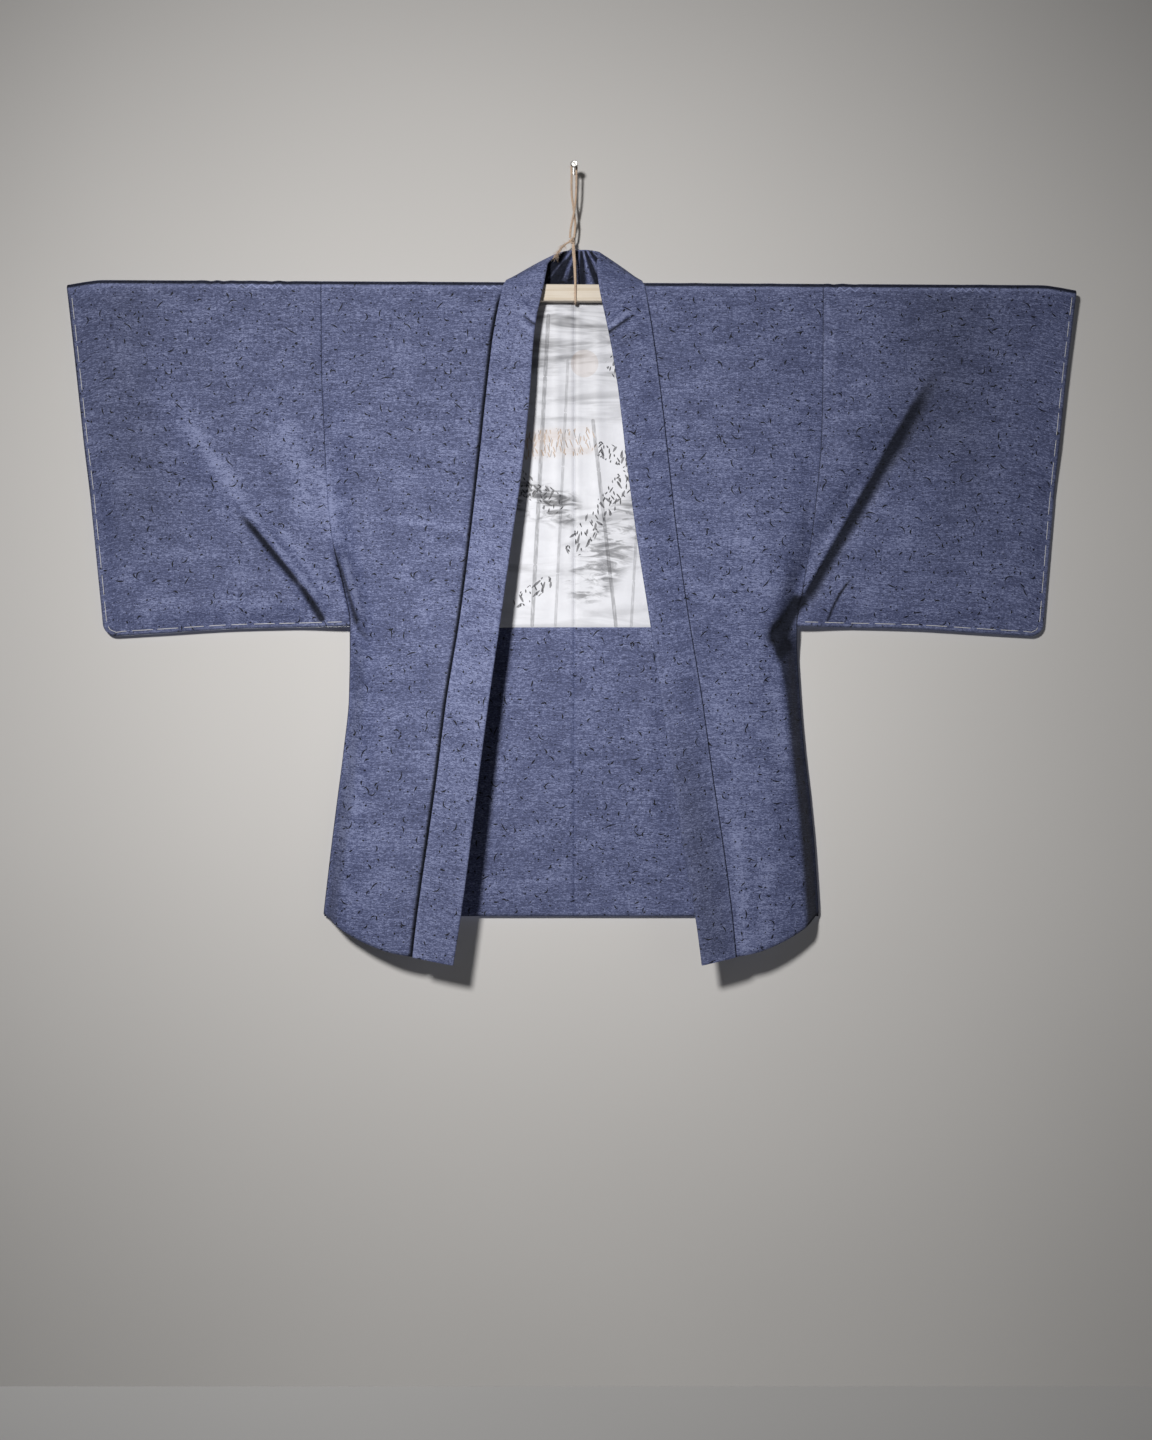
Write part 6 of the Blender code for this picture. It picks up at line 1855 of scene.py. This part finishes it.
class OBJECT_OT_haori_batten(bpy.types.Operator):
    """Make the planed batten with its eased edges and sawn ends"""

    bl_idname = "object.haori_batten"
    bl_label = "Batten"

    def execute(self, context):
        bpy.ops.object.select_all(action="DESELECT")
        drop = BATTEN_SLOPE * BATTEN_X
        bpy.ops.mesh.primitive_cube_add(
            size=1.0, location=(BATTEN_X, -BATTEN_OUT, BATTEN_TOP - BATTEN_HEIGHT / 2 - drop),
            rotation=(0.0, math.atan(BATTEN_SLOPE), 0.0), scale=(BATTEN_LENGTH, BATTEN_DEPTH, BATTEN_HEIGHT))
        batten = context.object
        batten.name = "planed_batten"
        bpy.ops.object.transform_apply(location=False, rotation=False, scale=True)
        eased = batten.modifiers.new("eased", "BEVEL")
        eased.width = BATTEN_EDGE
        eased.segments = 4
        bpy.ops.object.modifier_apply(modifier="eased")
        pick_faces(batten, lambda face: abs(face.normal.x) > 0.99)
        bpy.ops.mesh.inset(thickness=BATTEN_SAWN[0], depth=BATTEN_SAWN[1])
        bpy.ops.mesh.select_all(action="SELECT")
        bpy.ops.mesh.normals_make_consistent(inside=False)
        bpy.ops.object.mode_set(mode="OBJECT")
        bpy.ops.object.transform_apply(location=True, rotation=True, scale=True)
        bpy.ops.object.shade_smooth_by_angle(angle=math.radians(40.0))
        batten.data.materials.append(finish_of("wood"))
        finish_piece(batten, "pale_wood", "hanging_batten")
        return {"FINISHED"}


class OBJECT_OT_haori_nail(bpy.types.Operator):
    """Make the wire nail with its domed, rimmed head"""

    bl_idname = "object.haori_nail"
    bl_label = "Nail"

    def execute(self, context):
        bpy.ops.object.select_all(action="DESELECT")
        neck = -NAIL_OUT + NAIL_CONE
        shank = NAIL_IN - NAIL_POINT - neck
        bpy.ops.mesh.primitive_cylinder_add(
            vertices=NAIL_FACETS, radius=NAIL_SHANK / 2, depth=shank, location=(0.0, neck + shank / 2, 0.0),
            rotation=(math.radians(90.0), 0.0, 0.0))
        nail = context.object
        nail.name = "wire_nail"
        bpy.ops.object.transform_apply(location=True, rotation=True, scale=True)
        pick_faces(nail, lambda face: face.normal.y > 0.9)
        bpy.ops.mesh.extrude_region_move(TRANSFORM_OT_translate={"value": (0.0, NAIL_POINT, 0.0)})
        self.shrink(NAIL_TIP / (NAIL_SHANK / 2))
        pick_faces(nail, lambda face: face.normal.y < -0.9)
        for reach, size in ((NAIL_CONE - NAIL_RIM, NAIL_HEAD), (NAIL_RIM - NAIL_EDGE, NAIL_HEAD + NAIL_SPLAY),
                            (NAIL_EDGE, NAIL_HEAD - 2 * NAIL_EDGE)):
            shape = bmesh.from_edit_mesh(nail.data)
            face = next(face for face in shape.faces if face.select)
            radius = (face.verts[0].co - face.calc_center_median()).length
            bpy.ops.mesh.extrude_region_move(TRANSFORM_OT_translate={"value": (0.0, -reach, 0.0)})
            self.shrink(size / 2 / radius)
        for thickness, depth in NAIL_RINGS:
            bpy.ops.mesh.inset(thickness=thickness, depth=depth)
        bpy.ops.mesh.select_all(action="SELECT")
        bpy.ops.mesh.normals_make_consistent(inside=False)
        bpy.ops.object.mode_set(mode="OBJECT")
        bpy.ops.object.shade_smooth_by_angle(angle=math.radians(35.0))
        nail.data.materials.append(finish_of("steel"))
        finish_piece(nail, "nail_steel", "wall_nail")
        return {"FINISHED"}

    def shrink(self, share):
        """Scale the selected face about the nail's own line."""
        bpy.ops.transform.resize(value=(share, 1.0, share), center_override=(0.0, 0.0, 0.0))


def shell_piece(name, sheet, lined_above, *replaced):
    """A piece of shell cloth that is lined above a height, and its sheet's area."""
    return sheet_piece(name, sheet, bpy.context.scene.haori_sizes.shell, (finish_of("shell"), finish_of("inner")),
                       "shell_cloth", *replaced, lined_above=lined_above)


class OBJECT_OT_haori_body(bpy.types.Operator):
    """Make the two body lengths: back, over the shoulder, front"""

    bl_idname = "object.haori_body"
    bl_label = "Body"

    def execute(self, context):
        for side in (-1, 1):
            piece, area = shell_piece("body_cloth_" + hand(side), body_sheet(side), TURNUP_TOP_Z,
                                      "body_" + hand(side))
        return {"FINISHED"}


class OBJECT_OT_haori_sleeves(bpy.types.Operator):
    """Make the two sleeves, folded over the batten and sewn shut below"""

    bl_idname = "object.haori_sleeves"
    bl_label = "Sleeves"

    def execute(self, context):
        for side in (-1, 1):
            piece, area = shell_piece("sleeve_cloth_" + hand(side), sleeve_sheet(side), -math.inf,
                                      "sleeve_" + hand(side))
        return {"FINISHED"}


class OBJECT_OT_haori_gussets(bpy.types.Operator):
    """Make the side gussets, folded inwards between front and back"""

    bl_idname = "object.haori_gussets"
    bl_label = "Side gussets"

    def execute(self, context):
        for side in (-1, 1):
            piece, area = shell_piece("gusset_cloth_" + hand(side), gusset_sheet(side), -math.inf,
                                      "gusset_" + hand(side))
        return {"FINISHED"}


class OBJECT_OT_haori_collar(bpy.types.Operator):
    """Make the collar band, turned out along its fold from hem to hem"""

    bl_idname = "object.haori_collar"
    bl_label = "Collar"

    def execute(self, context):
        piece, area = sheet_piece("collar_cloth", collar_sheet(), context.scene.haori_sizes.shell,
                                  (finish_of("shell"),), "shell_cloth", "collar_left", "collar_neck", "collar_right")
        return {"FINISHED"}


class OBJECT_OT_haori_lining(bpy.types.Operator):
    """Make the back's ivory lining and the shell cloth turned up inside its hem"""

    bl_idname = "object.haori_lining"
    bl_label = "Lining and turned-up hem"

    def execute(self, context):
        wall = context.scene.haori_sizes.lining
        layers = (("lining", LINING_TOP_Z, LINING_HEM_Z, "lining", "lining_silk"),
                  ("turnup", TURNUP_TOP_Z, BACK_HEM_Z + SEAM_GAP, "shell", "shell_cloth"))
        for name, top, bottom, finish, slot in layers:
            for side in (-1, 1):
                piece, area = sheet_piece(name + "_cloth_" + hand(side), cover_sheet(side, top, bottom), wall,
                                          (finish_of(finish),), slot, name + "_" + hand(side))
        return {"FINISHED"}


# Basting: where its line begins and ends, how many points the line has down the cuff, round the corner and
# along the lower edge, and how far stitches and gaps vary.
BASTING_TOP_Z = -0.166
BASTING_SIDE_Z = -0.606
BASTING_CORNER_Z = -0.6187
BASTING_SHOULDER_X = 0.297
BASTING_CUFF_X = 0.624
BASTING_END = 0.03        # share of the lower edge at the armhole that has no stitches
BASTING_POINTS = (140, 12, 110)
STITCH_START = (0.004, 0.010)     # the first stitch begins this far down, and at most this much further
STITCH_END = 0.010        # no stitch begins in the last of the line
STITCH_VARIES = (0.72, 1.10)
GAP_VARIES = (0.7, 1.5)
STITCH_SHAPE = ((0.0, 0.6), (0.06, 0.9), (0.2, 1.0), (0.5, 1.0), (0.8, 1.0), (0.94, 0.9), (1.0, 0.6))
STITCH_RISE = 0.00075     # of the thread's underside from the cloth's middle
STITCH_SINK = 0.0002      # of its ends into the cloth


class OBJECT_OT_haori_basting(bpy.types.Operator):
    """Make the white basting stitches round the cuffs and sleeve bottoms"""

    bl_idname = "object.haori_basting"
    bl_label = "Basting stitches"

    def execute(self, context):
        sizes = context.scene.haori_sizes
        for side in (-1, 1):
            route = self.basting_line(side, sizes.inset)
            shape, layer = start_shape()
            chance = np.random.RandomState(20 + side)
            runs = route_runs(route)
            at = STITCH_START[0] + chance.uniform(0.0, STITCH_START[1])
            while at < runs[-1] - STITCH_END:
                length = sizes.stitch * chance.uniform(*STITCH_VARIES)
                self.add_stitch(shape, layer, route, runs, (at, min(at + length, runs[-1])), sizes.thread)
                at += length + sizes.stitch_gap * chance.uniform(*GAP_VARIES)
            bmesh_piece("basting_thread_" + hand(side), shape, finish_of("thread"), "lining_silk")
        return {"FINISHED"}

    def basting_line(self, side, inset):
        """Points on the sleeve's front, an inset inside its cuff and lower edge."""
        down, round_corner, along = BASTING_POINTS
        radius = CUFF_CORNER - inset
        corner_x = float(cuff_x(side, BASTING_CORNER_Z)) - CUFF_CORNER
        corner_z = BASTING_CORNER_Z + CUFF_CORNER
        line = [(float(cuff_x(side, z)) - inset, z) for z in np.linspace(BASTING_TOP_Z, BASTING_SIDE_Z, down)
                if z > corner_z]
        for angle in np.radians(np.linspace(0.0, 90.0, round_corner)):
            line.append((corner_x + radius * math.cos(angle), corner_z - radius * math.sin(angle)))
        start = (corner_x - BASTING_SHOULDER_X) / (BASTING_CUFF_X - BASTING_SHOULDER_X)
        for u in np.linspace(start, BASTING_END, along)[1:]:
            z = float(curve(SLEEVE_BOTTOM, "z", u, "u")) + inset
            line.append((float(mix(side_x(side, z), cuff_x(side, z), u)), z))
        route = []
        for x, z in line:
            u = float(np.clip((x - side_x(side, z)) / (cuff_x(side, z) - side_x(side, z)), 0.0, 1.0))
            shut = float(closed_edge(side, x, z, u))
            out = mix(float(hung_front(side, x, z)), EDGE_OUT + EDGE_HALF, shut)
            route.append(Vector((side * x, -out, z)))
        return route

    def add_stitch(self, shape, layer, route, runs, ends, thread):
        """One stitch that rises out of the cloth, lies on it and goes back in."""
        points = []
        for share, _ in STITCH_SHAPE:
            at = mix(*ends, share)
            index = max(k for k, run in enumerate(runs[:-1]) if run <= at)
            span = runs[index + 1] - runs[index]
            place = route[index].lerp(route[index + 1], (at - runs[index]) / span)
            rise = thread * 0.5 + STITCH_RISE if 0.0 < share < 1.0 else -STITCH_SINK
            points.append(place + Vector((0.0, -rise, 0.0)))
        radii = [thread / 2 * size for _, size in STITCH_SHAPE]
        add_tube(shape, layer, points, carried_frames(points), radii, 6)


FLOOR_Z = -1.62
AIR_LIGHT = 0.035
LAMPS = table(
    "name x y z aim_x aim_z size spread watts warm",
    ("key_lamp", -0.72, -2.95, 0.22, -0.10, -0.62, 0.32, 56.0, 10.7, 0.98),
    ("fill_lamp", 2.20, -3.20, -0.20, 0.02, -0.50, 2.40, 120.0, 2.6, 1.0),
    ("rear_lamp", -1.10, 3.20, -0.75, 0.02, -0.60, 1.80, 120.0, 60.0, 1.0))
AIR_COLOR = (0.90, 0.92, 0.96, 1.0)
ROOM_WIDTH = 14.0
WALL_HEIGHT = 6.0


class OBJECT_OT_haori_stage(bpy.types.Operator):
    """Make the pale wall and floor and the soft studio lights"""

    bl_idname = "object.haori_stage"
    bl_label = "Stage"

    def execute(self, context):
        colours = context.scene.haori_colours
        for name, height, depth, turn, one_sided in (
                ("studio_wall", FLOOR_Z + WALL_HEIGHT / 2, WALL_HEIGHT, 90.0, True),
                ("studio_floor", FLOOR_Z, ROOM_WIDTH, 0.0, False)):
            bpy.ops.object.select_all(action="DESELECT")
            bpy.ops.mesh.primitive_plane_add(size=1.0, location=(0.0, 0.0, height),
                                             rotation=(math.radians(turn), 0.0, 0.0))
            plane = context.object
            plane.name = name
            plane.scale = (ROOM_WIDTH, depth, 1.0)
            bpy.ops.object.transform_apply(location=True, rotation=True, scale=True)
            plane.data.materials.append(room_finish(name + "_paint", colours, one_sided))
            plane.visible_shadow = not one_sided
            plane.visible_diffuse = not one_sided
        for row in LAMPS:
            light = bpy.data.lights.new(row["name"], "AREA")
            light.shape = "DISK"
            light.size = row["size"]
            light.spread = math.radians(row["spread"])
            light.energy = row["watts"]
            light.color = (1.0, row["warm"], row["warm"] * row["warm"])
            lamp = bpy.data.objects.new(row["name"], light)
            context.scene.collection.objects.link(lamp)
            lamp.location = (row["x"], row["y"], row["z"])
            aim = Vector((row["aim_x"], 0.0, row["aim_z"])) - lamp.location
            lamp.rotation_euler = aim.to_track_quat("-Z", "Y").to_euler()
        world = bpy.data.worlds.new("studio_air")
        context.scene.world = world
        world.use_nodes = True
        air = world.node_tree.nodes["Background"]
        air.inputs["Color"].default_value = AIR_COLOR
        air.inputs["Strength"].default_value = AIR_LIGHT
        return {"FINISHED"}


# ---------------------------------------------------------------- the add-on
class VIEW3D_PT_haori(bpy.types.Panel):
    """Sizes, colours and steps of the haori."""

    bl_idname = "VIEW3D_PT_haori"
    bl_label = "Haori on a batten"
    bl_space_type = "VIEW_3D"
    bl_region_type = "UI"
    bl_category = "Haori"

    def draw(self, context):
        for group in (context.scene.haori_sizes, context.scene.haori_colours):
            box = self.layout.box()
            for key in group.__annotations__:
                box.prop(group, key)
        for step in STEPS:
            self.layout.operator(step.bl_idname)


STEPS = (OBJECT_OT_haori_camera, OBJECT_OT_haori_twine, OBJECT_OT_haori_batten, OBJECT_OT_haori_nail,
         OBJECT_OT_haori_body, OBJECT_OT_haori_sleeves, OBJECT_OT_haori_gussets, OBJECT_OT_haori_lining,
         OBJECT_OT_haori_collar, OBJECT_OT_haori_basting, OBJECT_OT_haori_stage)
CLASSES = (HaoriSizes, HaoriColours, *STEPS, VIEW3D_PT_haori)


def register():
    """Add the classes and their settings to Blender."""
    for item in CLASSES:
        bpy.utils.register_class(item)
    bpy.types.Scene.haori_sizes = PointerProperty(type=HaoriSizes)
    bpy.types.Scene.haori_colours = PointerProperty(type=HaoriColours)


def unregister():
    """Take the classes and their settings out of Blender."""
    del bpy.types.Scene.haori_colours
    del bpy.types.Scene.haori_sizes
    for item in reversed(CLASSES):
        bpy.utils.unregister_class(item)


def main():
    """Make everything."""
    register()
    for step in STEPS:
        group, name = step.bl_idname.split(".")
        getattr(getattr(bpy.ops, group), name)()


if __name__ == "__main__":
    main()
